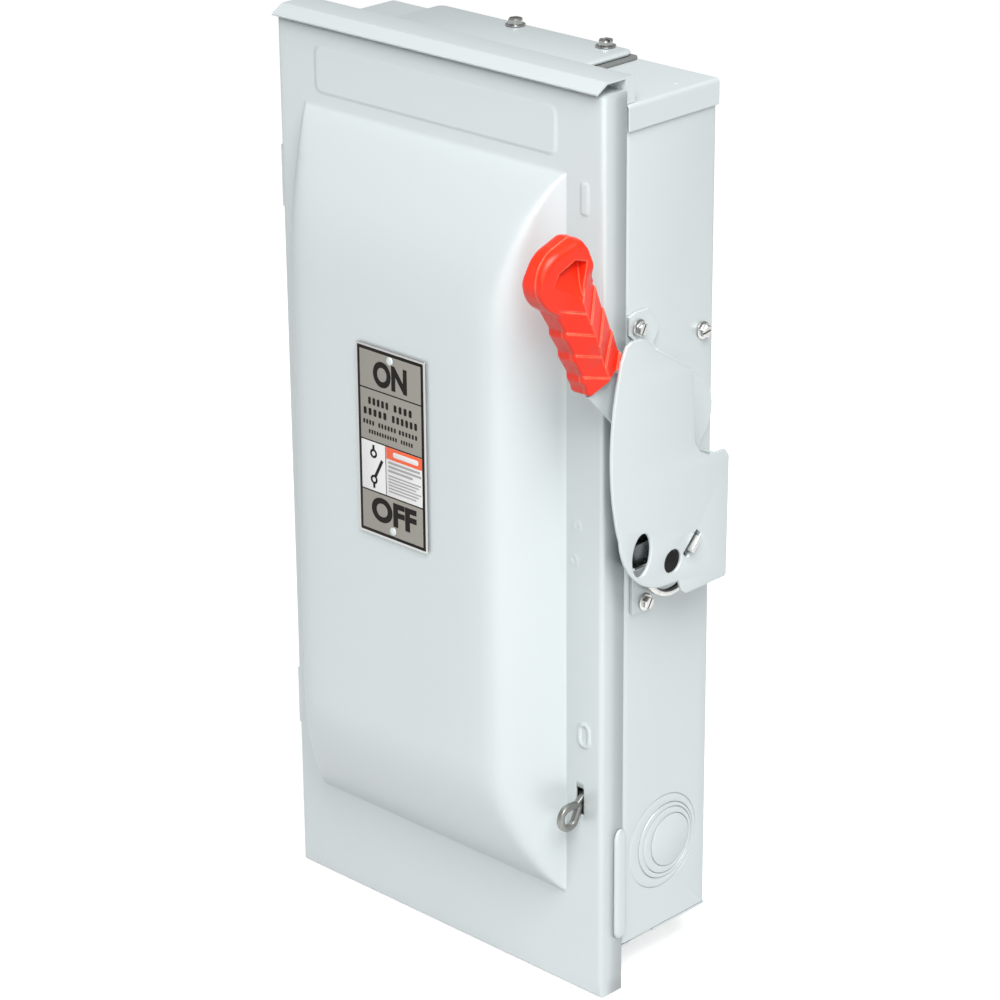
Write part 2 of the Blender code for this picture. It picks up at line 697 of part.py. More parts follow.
def tang_pocket():
    """The room for the lever's tang inside the grip, GAP wider all round."""
    pairs = [(80.0, -17.5), (152.0, -17.9), (155.0, -21.6), (155.0, -28.4), (152.0, -32.2), (80.0, -32.6)]
    outline = [grip_point(s, t) for s, t in pairs]
    return prism("X", outline, LEVER_X[0] - GAP, LEVER_X[1] + GAP)


def grip_half(outer):
    """One moulded half of the grip; the outer one thins at its foot to pass under the guard."""
    seam = GRIP_MID + (0.15 if outer else -0.15)
    face = GRIP_MID + (9.2 if outer else -10.6)
    half = prism("X", grip_outline(), min(seam, face), max(seam, face))
    bevelled(half, 2.2, 2, 50.0)
    tools = [tang_pocket()]
    if outer:
        under = GUARD_OUT - GUARD_T - 0.5
        wedge = [(under, 60.0), (under, 110.0), (under + 3.4, 126.0), (under + 12.0, 126.0), (under + 12.0, 60.0)]
        shape = bmesh.new()
        rings = []
        for t in (-70.0, 20.0):
            rings.append([shape.verts.new([x * MM, *(v * MM for v in grip_point(s, t))]) for x, s in wedge])
        shape.faces.new(rings[0])
        shape.faces.new(list(reversed(rings[1])))
        for i in range(len(wedge)):
            j = (i + 1) % len(wedge)
            shape.faces.new((rings[0][j], rings[0][i], rings[1][i], rings[1][j]))
        tools.append(solid_from(shape))
    return cut(half, *tools)


def grip_screw(s):
    """Screw head on the grip's inner face."""
    centre = grip_point(s, GRIP_AXIS_T)
    face = GRIP_MID - 10.6
    return rod("X", centre, 3.2, face - GAP - 1.2, face - GAP, 16)


def handle_shaft():
    """Shaft through the wall with its hub outside and the drive crank and pin inside."""
    centre = (PIVOT_Y, PIVOT_Z)
    stations = [(109.0, SHAFT_R), (141.0, SHAFT_R), (141.0, 14.0), (147.7, 14.0), (147.7, 5.0), (151.6, 5.0),
                (151.6, 8.0), (153.4, 7.4)]
    shaft = turned("X", centre, stations, 28)
    pin = (PIVOT_Y + CRANK_R, PIVOT_Z)
    crank = [(PIVOT_Y - 8.5, PIVOT_Z - 5.0), (pin[0] + 5.0, pin[1] - 5.0), (pin[0] + 5.0, pin[1] + 5.0),
             (PIVOT_Y - 8.5, PIVOT_Z + 5.0)]
    web = prism("X", rounded(crank, 3.0, 3), 107.0, 110.0)
    return joined(shaft, web, rod("X", pin, 2.4, 102.6, 108.0, 16))


def drive_link():
    """Link from the handle's crank pin to the rotor's crank pin."""
    low = (PIVOT_Y + CRANK_R, PIVOT_Z)
    high = (ROTOR_Y + CRANK_R, ROTOR_Z)
    bar = prism("X", [(low[0] - 3.5, low[1]), (low[0] + 3.5, low[1]), (high[0] + 3.5, high[1]), (high[0] - 3.5, high[1])],
                103.2, 106.4)
    joined(bar, *[rod("X", end, 5.0, 103.2, 106.4, 20) for end in (low, high)])
    holes = [rod("X", low, 2.75, 100.0, 110.0, 16), rod("X", high, 3.1, 100.0, 110.0, 16)]
    return cut(bar, *holes)


def handle_and_guard():
    """What stands on the right wall, and the handle that turns there."""
    node("mechanism_base_plate", base_plate(), PAINT)
    node("handle_guard", handle_guard(), PAINT)
    node("padlock_plate", padlock_plate(), ZINC)
    for name, centre, seat in (("upper", (-70.7, 137.7), PLATE_OUT), ("rear", (-10.5, 120.1), BOX_HALF_W),
                               ("lower", (-63.2, -40.1), PLATE_OUT)):
        node(f"base_screw_{name}", hex_screw("X", centre, seat + GAP, 1, 4.0, 4.2), ZINC)
    node("interlock_tab", interlock_tab(), ZINC, pivot("interlock_slide", 150.0, -44.9, -0.9))
    handle = pivot("handle_pivot", GRIP_MID, PIVOT_Y, PIVOT_Z)
    node("handle_shaft", handle_shaft(), ZINC, handle)
    lever = prism("X", lever_outline(), *LEVER_X)
    cut(lever, rod("X", (PIVOT_Y, PIVOT_Z), 5.4, LEVER_X[0] - 1, LEVER_X[1] + 1, 24))
    node("handle_lever", lever, PAINT, handle)
    node("grip_outer_half", grip_half(True), RED_PLASTIC, handle)
    node("grip_inner_half", grip_half(False), RED_PLASTIC, handle)
    for name, s in (("upper", 176.0), ("lower", 118.0)):
        node(f"grip_screw_{name}", grip_screw(s), ZINC, handle)
    link = pivot("link_pivot", 105.0, PIVOT_Y + CRANK_R, PIVOT_Z, handle)
    node("drive_link", drive_link(), ZINC, link)


# ---------------------------------------------------------------- switch inside the box


def mechanism_frame():
    """Bracket inside the right wall that holds the handle shaft's inner bearing."""
    wall = BOX_HALF_W - SHEET - GAP
    path = [(wall, -18.0), (wall, 0.0), (126.0, 0.0), (126.0, 96.0), (wall, 96.0), (wall, 114.0)]
    frame = prism("Y", sheet_strip(path, 2.0, 3.4, 2), -66.0, -30.0)
    return cut(frame, rod("X", (PIVOT_Y, PIVOT_Z), SHAFT_R + 0.4, 115.0, 131.0))


def switch_base():
    """Moulded base with barriers between the poles and bearing ears for the rotor."""
    base = bevelled(block((-96.0, -9.5, 15.0), (96.0, -2.5, 205.0)), 1.0, 1)
    walls = [block((x - 2.0, -60.0, 20.0), (x + 2.0, -8.5, 200.0)) for x in (-POLE_PITCH / 2, POLE_PITCH / 2)]
    ears = [block((x - 3.0, -64.0, ROTOR_Z - 14.0), (x + 3.0, -8.5, ROTOR_Z + 14.0)) for x in (-90.0, 90.0)]
    joined(base, *walls, *ears)
    rotor = (ROTOR_Y, ROTOR_Z)
    tools = [rod("X", rotor, 15.0, -40.0, 40.0), rod("X", rotor, ROTOR_SHAFT_R + 0.4, -100.0, 100.0, 24)]
    tools.append(block((-40.0, -70.0, ROTOR_Z - 14.0), (40.0, ROTOR_Y, ROTOR_Z + 14.0)))
    return cut(base, *tools)


def terminal(x, line_side):
    """Jaw, strap and lug block of one pole, above the rotor on the line side and below it if not."""
    def at(offset):
        return ROTOR_Z + offset if line_side else ROTOR_Z - offset

    def part(x_low, x_high, y_low, y_high, near, far):
        return block((x + x_low, y_low, min(at(near), at(far))), (x + x_high, y_high, max(at(near), at(far))))

    strap = part(-8.0, 8.0, -12.6, -9.8, 23.0, 82.0)
    jaws = [part(low, low + 1.6, -61.0, -10.4, 24.0, 40.0) for low in (-3.6, 2.0)]
    lug = part(-9.5, 9.5, -34.0, -12.0, 60.0, 82.0)
    joined(strap, *jaws, lug)
    wire = rod("Z", (x, -22.0), 5.6, min(at(56.0), at(86.0)), max(at(56.0), at(86.0)), 20)
    return cut(strap, wire)


def terminal_screw(x, line_side):
    """Clamping screw of a lug, with a hexagon socket."""
    z = ROTOR_Z + (71.0 if line_side else -71.0)
    screw = rod("Y", (x, z), 5.0, -41.0, -34.3, 20)
    return cut(screw, prism("Y", circle((x, z), 2.6, 6), -42.0, -37.5))


def rotor_shaft():
    """Steel shaft of the rotor with its crank and pin at the right end."""
    centre = (ROTOR_Y, ROTOR_Z)
    pin = (ROTOR_Y + CRANK_R, ROTOR_Z)
    shaft = rod("X", centre, ROTOR_SHAFT_R, -95.0, 100.5, 24)
    web = [(ROTOR_Y - 7.5, ROTOR_Z - 5.0), (pin[0] + 5.0, pin[1] - 5.0), (pin[0] + 5.0, pin[1] + 5.0),
           (ROTOR_Y - 7.5, ROTOR_Z + 5.0)]
    crank = prism("X", rounded(web, 3.0, 3), 99.0, 102.2)
    return joined(shaft, crank, rod("X", pin, 2.4, 101.0, 106.6, 16))


def rotor_crossbar():
    """Insulating bar round the shaft, slotted for the three blades."""
    centre = (ROTOR_Y, ROTOR_Z)
    bar = rod("X", centre, 13.0, -84.0, 84.0, 12)
    slots = [
        block((x - 1.9, ROTOR_Y - BLADE_HALF_W - GAP, ROTOR_Z - 20.0), (x + 1.9, ROTOR_Y + BLADE_HALF_W + GAP, ROTOR_Z + 20.0))
        for x in (-POLE_PITCH, 0.0, POLE_PITCH)
    ]
    return cut(bar, rod("X", centre, ROTOR_SHAFT_R + GAP, -90.0, 90.0, 24), *slots)


def blade(x):
    """Knife blade through the crossbar, one end in each jaw when the switch is closed."""
    low, high = ROTOR_Z - BLADE_REACH, ROTOR_Z + BLADE_REACH
    outline = rounded(rectangle((ROTOR_Y - BLADE_HALF_W, low), (ROTOR_Y + BLADE_HALF_W, high)), 4.0, 3)
    bar = prism("X", outline, x - 1.5, x + 1.5)
    return cut(bar, rod("X", (ROTOR_Y, ROTOR_Z), ROTOR_SHAFT_R + GAP, x - 3.0, x + 3.0, 24))


def line_shield():
    """Insulating cover over the line lugs."""
    shield = block((-94.0, -68.0, 152.0), (94.0, -66.4, 206.0))
    legs = [block((x - 2.0, -67.0, 172.0), (x + 2.0, -60.3, 188.0)) for x in (-POLE_PITCH / 2, POLE_PITCH / 2)]
    return joined(shield, *legs)


def ground_bar():
    """Grounding bar on two feet on the back wall, drilled for four wires."""
    bar = block((-118.0, -18.0, -172.0), (-58.0, -8.0, -160.0))
    feet = [block((x - 4.0, -9.0, -171.0), (x + 4.0, -SHEET - GAP, -161.0)) for x in (-112.0, -64.0)]
    joined(bar, *feet)
    return cut(bar, *[rod("Z", (-100.0 + 8.0 * i, -13.0), 2.5, -180.0, -150.0, 12) for i in range(4)])


def switch():
    """The three-pole knife switch, its drive and the grounding bar."""
    node("mechanism_frame", mechanism_frame(), ZINC)
    node("toggle_spring", coil(PIVOT_Y, PIVOT_Z, 10.5, 0.9, 112.5, 121.5, 5), ZINC)
    node("switch_base", switch_base(), BLACK_MOULDING)
    node("line_shield", line_shield(), SHIELD)
    node("ground_bar", ground_bar(), ALUMINIUM)
    rotor = pivot("rotor_pivot", 0.0, ROTOR_Y, ROTOR_Z)
    node("rotor_shaft", rotor_shaft(), ZINC, rotor)
    node("rotor_crossbar", rotor_crossbar(), BLACK_MOULDING, rotor)
    for i, x in enumerate((-POLE_PITCH, 0.0, POLE_PITCH), start=1):
        node(f"blade_{i}", blade(x), COPPER, rotor)
        for side, line_side in (("line", True), ("load", False)):
            node(f"{side}_terminal_{i}", terminal(x, line_side), ALUMINIUM)
            node(f"{side}_screw_{i}", terminal_screw(x, line_side), ZINC)


def main():
    """Builds every sub-part."""
    for item in list(bpy.data.objects):
        bpy.data.objects.remove(item)
    enclosure()
    door()
    handle_and_guard()
    switch()


main()
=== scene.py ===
"""Looks of the AC disconnect box: sheet metal, drawn door, nameplate, grip, latch and finishes.

Lengths are in millimetres until a mesh is made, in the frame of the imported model: the wall is at
y = 0, the door faces -Y and +Z is up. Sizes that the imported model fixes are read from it.
"""

import logging
import math
from collections.abc import Callable
from dataclasses import dataclass, field
from enum import Enum

import bmesh
import bpy
import numpy as np
from mathutils import Matrix, Vector


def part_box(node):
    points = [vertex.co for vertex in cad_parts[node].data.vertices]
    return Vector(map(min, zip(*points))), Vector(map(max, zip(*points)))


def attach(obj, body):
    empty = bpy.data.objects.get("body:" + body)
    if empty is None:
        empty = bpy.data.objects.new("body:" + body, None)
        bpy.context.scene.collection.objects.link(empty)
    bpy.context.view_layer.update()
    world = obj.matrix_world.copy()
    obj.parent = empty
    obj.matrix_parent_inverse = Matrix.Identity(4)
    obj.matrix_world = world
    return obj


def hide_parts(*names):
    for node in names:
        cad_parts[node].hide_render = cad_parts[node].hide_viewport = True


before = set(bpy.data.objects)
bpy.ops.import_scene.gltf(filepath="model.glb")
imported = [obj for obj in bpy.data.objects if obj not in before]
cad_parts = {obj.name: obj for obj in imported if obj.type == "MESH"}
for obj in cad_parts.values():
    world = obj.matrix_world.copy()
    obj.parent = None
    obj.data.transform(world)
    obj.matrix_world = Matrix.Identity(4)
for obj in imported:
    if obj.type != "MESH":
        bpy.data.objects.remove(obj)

MM = 0.001
LOG = logging.getLogger("disconnect_box")

# Shorter names for what the signatures repeat.
Pair = tuple[float, float]
Colour = tuple[float, float, float]
Thing = bpy.types.Object


# ------------------------------------------------------------------ arrays and meshes


class Across(Enum):
    """The axis a flat outline lies across, with the columns of (u, v, height) in space."""

    X = (1, 2, 0)
    Y = (0, 2, 1)
    Z = (0, 1, 2)

    def place(self, u: np.ndarray, v: np.ndarray, height: np.ndarray | float) -> np.ndarray:
        """Puts outline points in space.

        Args:
            u: First coordinate in the outline's plane.
            v: Second coordinate in the outline's plane.
            height: Coordinate along the axis.

        Returns:
            An array of points, with x, y and z in its last dimension.
        """
        shape = np.broadcast(u, v, height).shape
        points = np.empty(shape + (3,))
        for column, values in zip(self.value, (u, v, height)):
            points[..., column] = values
        return points


def smooth(low: float, high: float, value: np.ndarray) -> np.ndarray:
    """The cubic 3u^2 - 2u^3 of u, the share of the way from low to high, kept within 0 and 1."""
    u = np.clip((value - low) / (high - low), 0.0, 1.0)
    return u * u * (3.0 - 2.0 * u)


def stations(*spans: tuple[float, float, float]) -> np.ndarray:
    """Sorted grid positions.

    Args:
        spans: Stretches as (start, stop, widest step); each begins where the one before ends.

    Returns:
        Every start, and the stops between them divided evenly.
    """
    pieces = [np.linspace(a, b, max(math.ceil((b - a) / step), 1) + 1) for a, b, step in spans]
    return np.unique(np.round(np.concatenate(pieces), 4))


def arc(centre: Pair, radius: float, start: float, end: float, steps: int) -> np.ndarray:
    """Points on a circle from start to end degrees, both included."""
    angle = np.radians(np.linspace(start, end, steps + 1))
    return np.stack([centre[0] + radius * np.cos(angle), centre[1] + radius * np.sin(angle)], axis=-1)


def circle(centre: Pair, radius: float, steps: int = 48) -> np.ndarray:
    """A closed circle of steps points."""
    return arc(centre, radius, 0.0, 360.0, steps)[:-1]


def rounded(corners: list[Pair], radii: float | list[float], steps: int = 6) -> np.ndarray:
    """A closed outline whose corners are tangent arcs.

    Args:
        corners: The corner points in order.
        radii: One radius, or one for each corner.
        steps: Segments of each arc.

    Returns:
        The outline's points. Each arc runs between the points at r / tan(angle / 2) from its corner.
    """
    points = np.asarray(corners, dtype=float)
    radius = np.broadcast_to(np.asarray(radii, dtype=float), len(points))
    back = np.roll(points, 1, axis=0) - points
    ahead = np.roll(points, -1, axis=0) - points
    back /= np.linalg.norm(back, axis=1)[:, None]
    ahead /= np.linalg.norm(ahead, axis=1)[:, None]
    half = 0.5 * np.arccos(np.clip((back * ahead).sum(axis=1), -0.9999, 0.9999))
    middle = back + ahead
    middle /= np.linalg.norm(middle, axis=1)[:, None]
    centre = points + middle * (radius / np.sin(half))[:, None]
    first = points + back * (radius / np.tan(half))[:, None] - centre
    last = points + ahead * (radius / np.tan(half))[:, None] - centre
    sweep = np.pi - 2.0 * half
    share = np.linspace(0.0, 1.0, steps + 1)
    weight = np.maximum(np.sin(sweep), 1e-9)[:, None]
    near = np.sin((1.0 - share) * sweep[:, None]) / weight
    far = np.sin(share * sweep[:, None]) / weight
    rays = first[:, None, :] * near[..., None] + last[:, None, :] * far[..., None]
    return (centre[:, None, :] + rays).reshape(-1, 2)


def grid_faces(rows: int, columns: int, closed: bool = False) -> np.ndarray:
    """Quads of a grid of vertices numbered row by row.

    Args:
        rows: Number of rows.
        columns: Number of vertices in a row.
        closed: Whether the last column joins the first.

    Returns:
        One row of four vertex numbers for each quad.
    """
    i, j = np.meshgrid(np.arange(rows - 1), np.arange(columns - (not closed)), indexing="ij")
    k = (j + 1) % columns
    row, after = i * columns, (i + 1) * columns
    return np.stack([row + j, row + k, after + k, after + j], axis=-1).reshape(-1, 4)


def face_outward(mesh: bpy.types.Mesh) -> None:
    """Turns a closed mesh right side out: the sum of a . (b x c) over its triangles is positive.

    Args:
        mesh: A closed mesh whose faces agree with each other.
    """
    mesh.calc_loop_triangles()
    places = np.empty(len(mesh.vertices) * 3)
    mesh.vertices.foreach_get("co", places)
    corners = np.empty(len(mesh.loop_triangles) * 3, dtype=np.int32)
    mesh.loop_triangles.foreach_get("vertices", corners)
    a, b, c = places.reshape(-1, 3)[corners.reshape(-1, 3)].transpose(1, 0, 2)
    if np.einsum("ij,ij->", a, np.cross(b, c)) < 0.0:
        mesh.flip_normals()


def piece_from(name: str, points: np.ndarray, faces: list, closed: bool = True) -> Thing:
    """A new object in the scene.

    Args:
        name: The piece's name.
        points: Vertices in millimetres.
        faces: Vertex numbers of each face.
        closed: Whether the mesh is a closed shell, which is then turned right side out.

    Returns:
        The object, at the origin, with its place in its mesh.
    """
    mesh = bpy.data.meshes.new(name)
    mesh.from_pydata((points.reshape(-1, 3) * MM).tolist(), [], faces)
    mesh.validate()
    if closed:
        face_outward(mesh)
    piece = bpy.data.objects.new(name, mesh)
    bpy.context.scene.collection.objects.link(piece)
    return piece


def loft(name: str, rings: np.ndarray, loop: bool = False) -> Thing:
    """A closed shell through rings of points.

    Args:
        name: The piece's name.
        rings: Array of rings, each with the same number of points.
        loop: Whether the last ring joins the first; otherwise both ends get a flat cap.

    Returns:
        The object.
    """
    count, size = rings.shape[:2]
    if loop:
        rings = np.concatenate([rings, rings[:1]])
    faces = grid_faces(len(rings), size, closed=True)
    if loop:
        faces = np.where(faces >= count * size, faces - count * size, faces)
        return piece_from(name, rings[:-1], faces.tolist())
    ends = [list(range(size)), list(range((count - 1) * size, count * size))]
    return piece_from(name, rings, faces.tolist() + ends)


def turned(name: str, across: Across, centre: Pair, profile: list[Pair], steps: int = 48) -> Thing:
    """A turned shell: circles of the profile's radii about a centre.

    Args:
        name: The piece's name.
        across: The axis of turning.
        centre: The axis's place in the plane across it.
        profile: Pairs of (height, radius).
        steps: Points in each circle.

    Returns:
        The object.
    """
    height, radius = np.asarray(profile, dtype=float).T
    unit = circle((0.0, 0.0), 1.0, steps)
    u = centre[0] + radius[:, None] * unit[:, 0]
    v = centre[1] + radius[:, None] * unit[:, 1]
    return loft(name, across.place(u, v, height[:, None]))


def merged(mesh: bpy.types.Mesh, distance: float = 1e-6, flat: float = 0.0) -> None:
    """Merges close vertices, and joins faces that are nearly flat.

    Args:
        mesh: The mesh.
        distance: Vertices closer than this are merged, in metres.
        flat: Faces that differ by fewer degrees are joined, unless it is 0.
    """
    work = bmesh.new()
    work.from_mesh(mesh)
    bmesh.ops.remove_doubles(work, verts=work.verts, dist=distance)
    if flat:
        angle = math.radians(flat)
        bmesh.ops.dissolve_limit(work, angle_limit=angle, verts=work.verts, edges=work.edges)
    work.to_mesh(mesh)
    work.free()


def cut_plate(
    name: str, across: Across, loops: list[np.ndarray], low: float, high: float, edge: float
) -> Thing:
    """A flat plate with holes and rolled edges, filled as a flat curve.

    Args:
        name: The piece's name.
        across: The axis across the plate.
        loops: The outline, then the holes.
        low: Height of one face.
        high: Height of the other face.
        edge: Radius of the rolled edges.

    Returns:
        The object.
    """
    curve = bpy.data.curves.new(name, "CURVE")
    curve.dimensions = "2D"
    curve.fill_mode = "BOTH"
    curve.bevel_depth = edge * MM
    curve.bevel_resolution = 2
    curve.offset = -edge * MM
    curve.extrude = ((high - low) / 2.0 - edge) * MM
    for number, points in enumerate(loops):
        u, v = points[:, 0], points[:, 1]
        area = (u * np.roll(v, -1) - v * np.roll(u, -1)).sum()
        if (area > 0.0) == (number > 0):
            points = points[::-1]
        spline = curve.splines.new("POLY")
        spline.points.add(len(points) - 1)
        spline.use_cyclic_u = True
        flat = np.zeros((len(points), 4))
        flat[:, :2] = points * MM
        spline.points.foreach_set("co", flat.ravel())
    middle = (low + high) / 2.0
    return shell_of(name, curve, lambda p: across.place(p[:, 0], p[:, 1], p[:, 2] + middle))


def shell_of(name: str, curve: bpy.types.Curve, place: Callable[[np.ndarray], np.ndarray]) -> Thing:
    """The mesh of a curve or text, placed in space.

    Args:
        name: The piece's name.
        curve: A filled curve or text, which is removed.
        place: Function from its points, in millimetres, to points in space.

    Returns:
        The object.
    """
    guide = bpy.data.objects.new(name + "_guide", curve)
    bpy.context.scene.collection.objects.link(guide)
    bpy.context.view_layer.update()
    graph = bpy.context.evaluated_depsgraph_get()
    mesh = bpy.data.meshes.new_from_object(guide.evaluated_get(graph))
    bpy.data.objects.remove(guide)
    bpy.data.curves.remove(curve)
    mesh.materials.clear()
    merged(mesh)
    points = np.empty(len(mesh.vertices) * 3)
    mesh.vertices.foreach_get("co", points)
    mesh.vertices.foreach_set("co", (place(points.reshape(-1, 3) / MM) * MM).ravel())
    face_outward(mesh)
    mesh.name = name
    piece = bpy.data.objects.new(name, mesh)
    bpy.context.scene.collection.objects.link(piece)
    return piece


def refined(node: str, edge: float) -> Thing:
    """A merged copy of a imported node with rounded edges.

    Args:
        node: The node's name.
        edge: Width of the rounding, or 0 for none.

    Returns:
        The copy, named for the node.
    """
    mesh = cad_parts[node].data.copy()
    mesh.materials.clear()
    merged(mesh, flat=0.6)
    piece = bpy.data.objects.new(f"{node}_surface", mesh)
    bpy.context.scene.collection.objects.link(piece)
    if edge:
        rounding = piece.modifiers.new("Bevel", "BEVEL")
        rounding.width = edge * MM
        rounding.segments = 2
        rounding.limit_method = "ANGLE"
        rounding.angle_limit = math.radians(50.0)
        rounding.harden_normals = True
    return piece


def fused(name: str, pieces: list[Thing]) -> Thing:
    """One object from several shells.

    Args:
        name: The new piece's name.
        pieces: Objects whose meshes go into it; they are removed.

    Returns:
        The object.
    """
    work = bmesh.new()
    for piece in pieces:
        work.from_mesh(piece.data)
        bpy.data.objects.remove(piece)
    mesh = bpy.data.meshes.new(name)
    work.to_mesh(mesh)
    work.free()
    whole = bpy.data.objects.new(name, mesh)
    bpy.context.scene.collection.objects.link(whole)
    return whole


def corners_of(node: str) -> tuple[np.ndarray, np.ndarray]:
    """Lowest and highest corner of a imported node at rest, in millimetres."""
    low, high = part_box(node)
    return np.array(low) / MM, np.array(high) / MM


# ------------------------------------------------------------------ shared effects


class Effects:
    """Shader node groups that several finishes share."""

    @staticmethod
    def start(name: str, inputs: dict[str, float], outputs: list[str]) -> tuple:
        """A new group with a vector input, number inputs and number outputs.

        Args:
            name: The group's name.
            inputs: Default value of each number input.
            outputs: Names of the outputs.

        Returns:
            The group, its input node and its output node.
        """
        group = bpy.data.node_groups.new(name, "ShaderNodeTree")
        group.interface.new_socket(name="Vector", in_out="INPUT", socket_type="NodeSocketVector")
        for label, value in inputs.items():
            socket = group.interface.new_socket(name=label, in_out="INPUT", socket_type="NodeSocketFloat")
            socket.default_value = value
        for label in outputs:
            group.interface.new_socket(name=label, in_out="OUTPUT", socket_type="NodeSocketFloat")
        return group, group.nodes.new("NodeGroupInput"), group.nodes.new("NodeGroupOutput")

    @staticmethod
    def product(
        group: bpy.types.NodeTree, mask: bpy.types.NodeSocket, noise: bpy.types.NodeSocket,
        amount: bpy.types.NodeSocket, result: bpy.types.Node,
    ) -> None:
        """Puts mask * noise * amount into the group's Mask output.

        Args:
            group: The group.
            mask: Socket of the plain mask.
            noise: Socket of the noise that breaks it up.
            amount: Socket of its strength.
            result: The group's output node.
        """
        for factor in (noise, amount):
            times = group.nodes.new("ShaderNodeMath")
            times.operation = "MULTIPLY"
            group.links.new(mask, times.inputs[0])
            group.links.new(factor, times.inputs[1])
            mask = times.outputs[0]
        group.links.new(mask, result.inputs["Mask"])

    @classmethod
    def grain(cls) -> bpy.types.NodeTree:
        """Fine surface grain (Height) and slow unevenness (Tone), stretched along an axis if asked.

        Returns:
            The group, made the first time it is asked for.
        """
        found = bpy.data.node_groups.get("surface_grain")
        if found:
            return found
        group, given, result = cls.start(
            "surface_grain", {"Scale": 900.0, "Tone Scale": 14.0, "Stretch": 1.0}, ["Height", "Tone"]
        )
        nodes, links = group.nodes, group.links
        stretch = nodes.new("ShaderNodeCombineXYZ")
        stretch.inputs["X"].default_value = 1.0
        stretch.inputs["Y"].default_value = 1.0
        links.new(given.outputs["Stretch"], stretch.inputs["Z"])
        scaled = nodes.new("ShaderNodeVectorMath")
        scaled.operation = "MULTIPLY"
        links.new(given.outputs["Vector"], scaled.inputs[0])
        links.new(stretch.outputs[0], scaled.inputs[1])
        for label, socket, detail in (("Scale", "Height", 3.0), ("Tone Scale", "Tone", 2.0)):
            noise = nodes.new("ShaderNodeTexNoise")
            noise.inputs["Detail"].default_value = detail
            links.new(scaled.outputs[0], noise.inputs["Vector"])
            links.new(given.outputs[label], noise.inputs["Scale"])
            links.new(noise.outputs["Fac"], result.inputs[socket])
        return group

    @classmethod
    def painted_edge_highlight(cls) -> bpy.types.NodeTree:
        """Mask of the outer edges, broken up by noise, where a lighter colour is painted on as a highlight.

        It follows the cosine between the surface's normal and its normal rounded over the radius.

        Returns:
            The group, made the first time it is asked for.
        """
        found = bpy.data.node_groups.get("painted_edge_highlight")
        if found:
            return found
        group, given, result = cls.start("painted_edge_highlight", {"Radius": 0.0012, "Amount": 0.5}, ["Mask"])
        nodes, links = group.nodes, group.links
        rounded_normal = nodes.new("ShaderNodeBevel")
        rounded_normal.samples = 4
        links.new(given.outputs["Radius"], rounded_normal.inputs["Radius"])
        plain = nodes.new("ShaderNodeNewGeometry")
        cosine = nodes.new("ShaderNodeVectorMath")
        cosine.operation = "DOT_PRODUCT"
        links.new(rounded_normal.outputs[0], cosine.inputs[0])
        links.new(plain.outputs["Normal"], cosine.inputs[1])
        edge = nodes.new("ShaderNodeMapRange")
        edge.inputs["From Min"].default_value = 0.995
        edge.inputs["From Max"].default_value = 0.85
        links.new(cosine.outputs["Value"], edge.inputs["Value"])
        noise = nodes.new("ShaderNodeTexNoise")
        noise.inputs["Scale"].default_value = 160.0
        links.new(given.outputs["Vector"], noise.inputs["Vector"])
        cls.product(group, edge.outputs["Result"], noise.outputs["Fac"], given.outputs["Amount"], result)
        return group

    @classmethod
    def dust(cls) -> bpy.types.NodeTree:
        """Mask of the faces that look up, broken up by noise, where a little dust settles.

        Returns:
            The group, made the first time it is asked for.
        """
        found = bpy.data.node_groups.get("dust")
        if found:
            return found
        group, given, result = cls.start("dust", {"Amount": 0.1}, ["Mask"])
        nodes, links = group.nodes, group.links
        plain = nodes.new("ShaderNodeNewGeometry")
        parts = nodes.new("ShaderNodeSeparateXYZ")
        links.new(plain.outputs["Normal"], parts.inputs[0])
        upward = nodes.new("ShaderNodeMapRange")
        upward.inputs["From Min"].default_value = 0.6
        upward.inputs["From Max"].default_value = 1.0
        links.new(parts.outputs["Z"], upward.inputs["Value"])
        noise = nodes.new("ShaderNodeTexNoise")
        noise.inputs["Scale"].default_value = 55.0
        noise.inputs["Detail"].default_value = 6.0
        links.new(given.outputs["Vector"], noise.inputs["Vector"])
        cls.product(group, upward.outputs["Result"], noise.outputs["Fac"], given.outputs["Amount"], result)
        return group


# ------------------------------------------------------------------ finishes


class Slot(Enum):
    """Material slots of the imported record."""

    ENAMEL = "grey_enamel"
    ZINC = "zinc_plated_steel"
    CAST_ZINC = "die_cast_zinc"
    RED = "red_plastic"
    BLACK = "black_moulding"
    FIBRE = "fibre_shield"
    RUBBER = "gasket_rubber"
    LABEL = "label_metal"
    ALUMINIUM = "aluminium"
    COPPER = "copper"


DUST_COLOUR: Colour = (0.52, 0.50, 0.46)


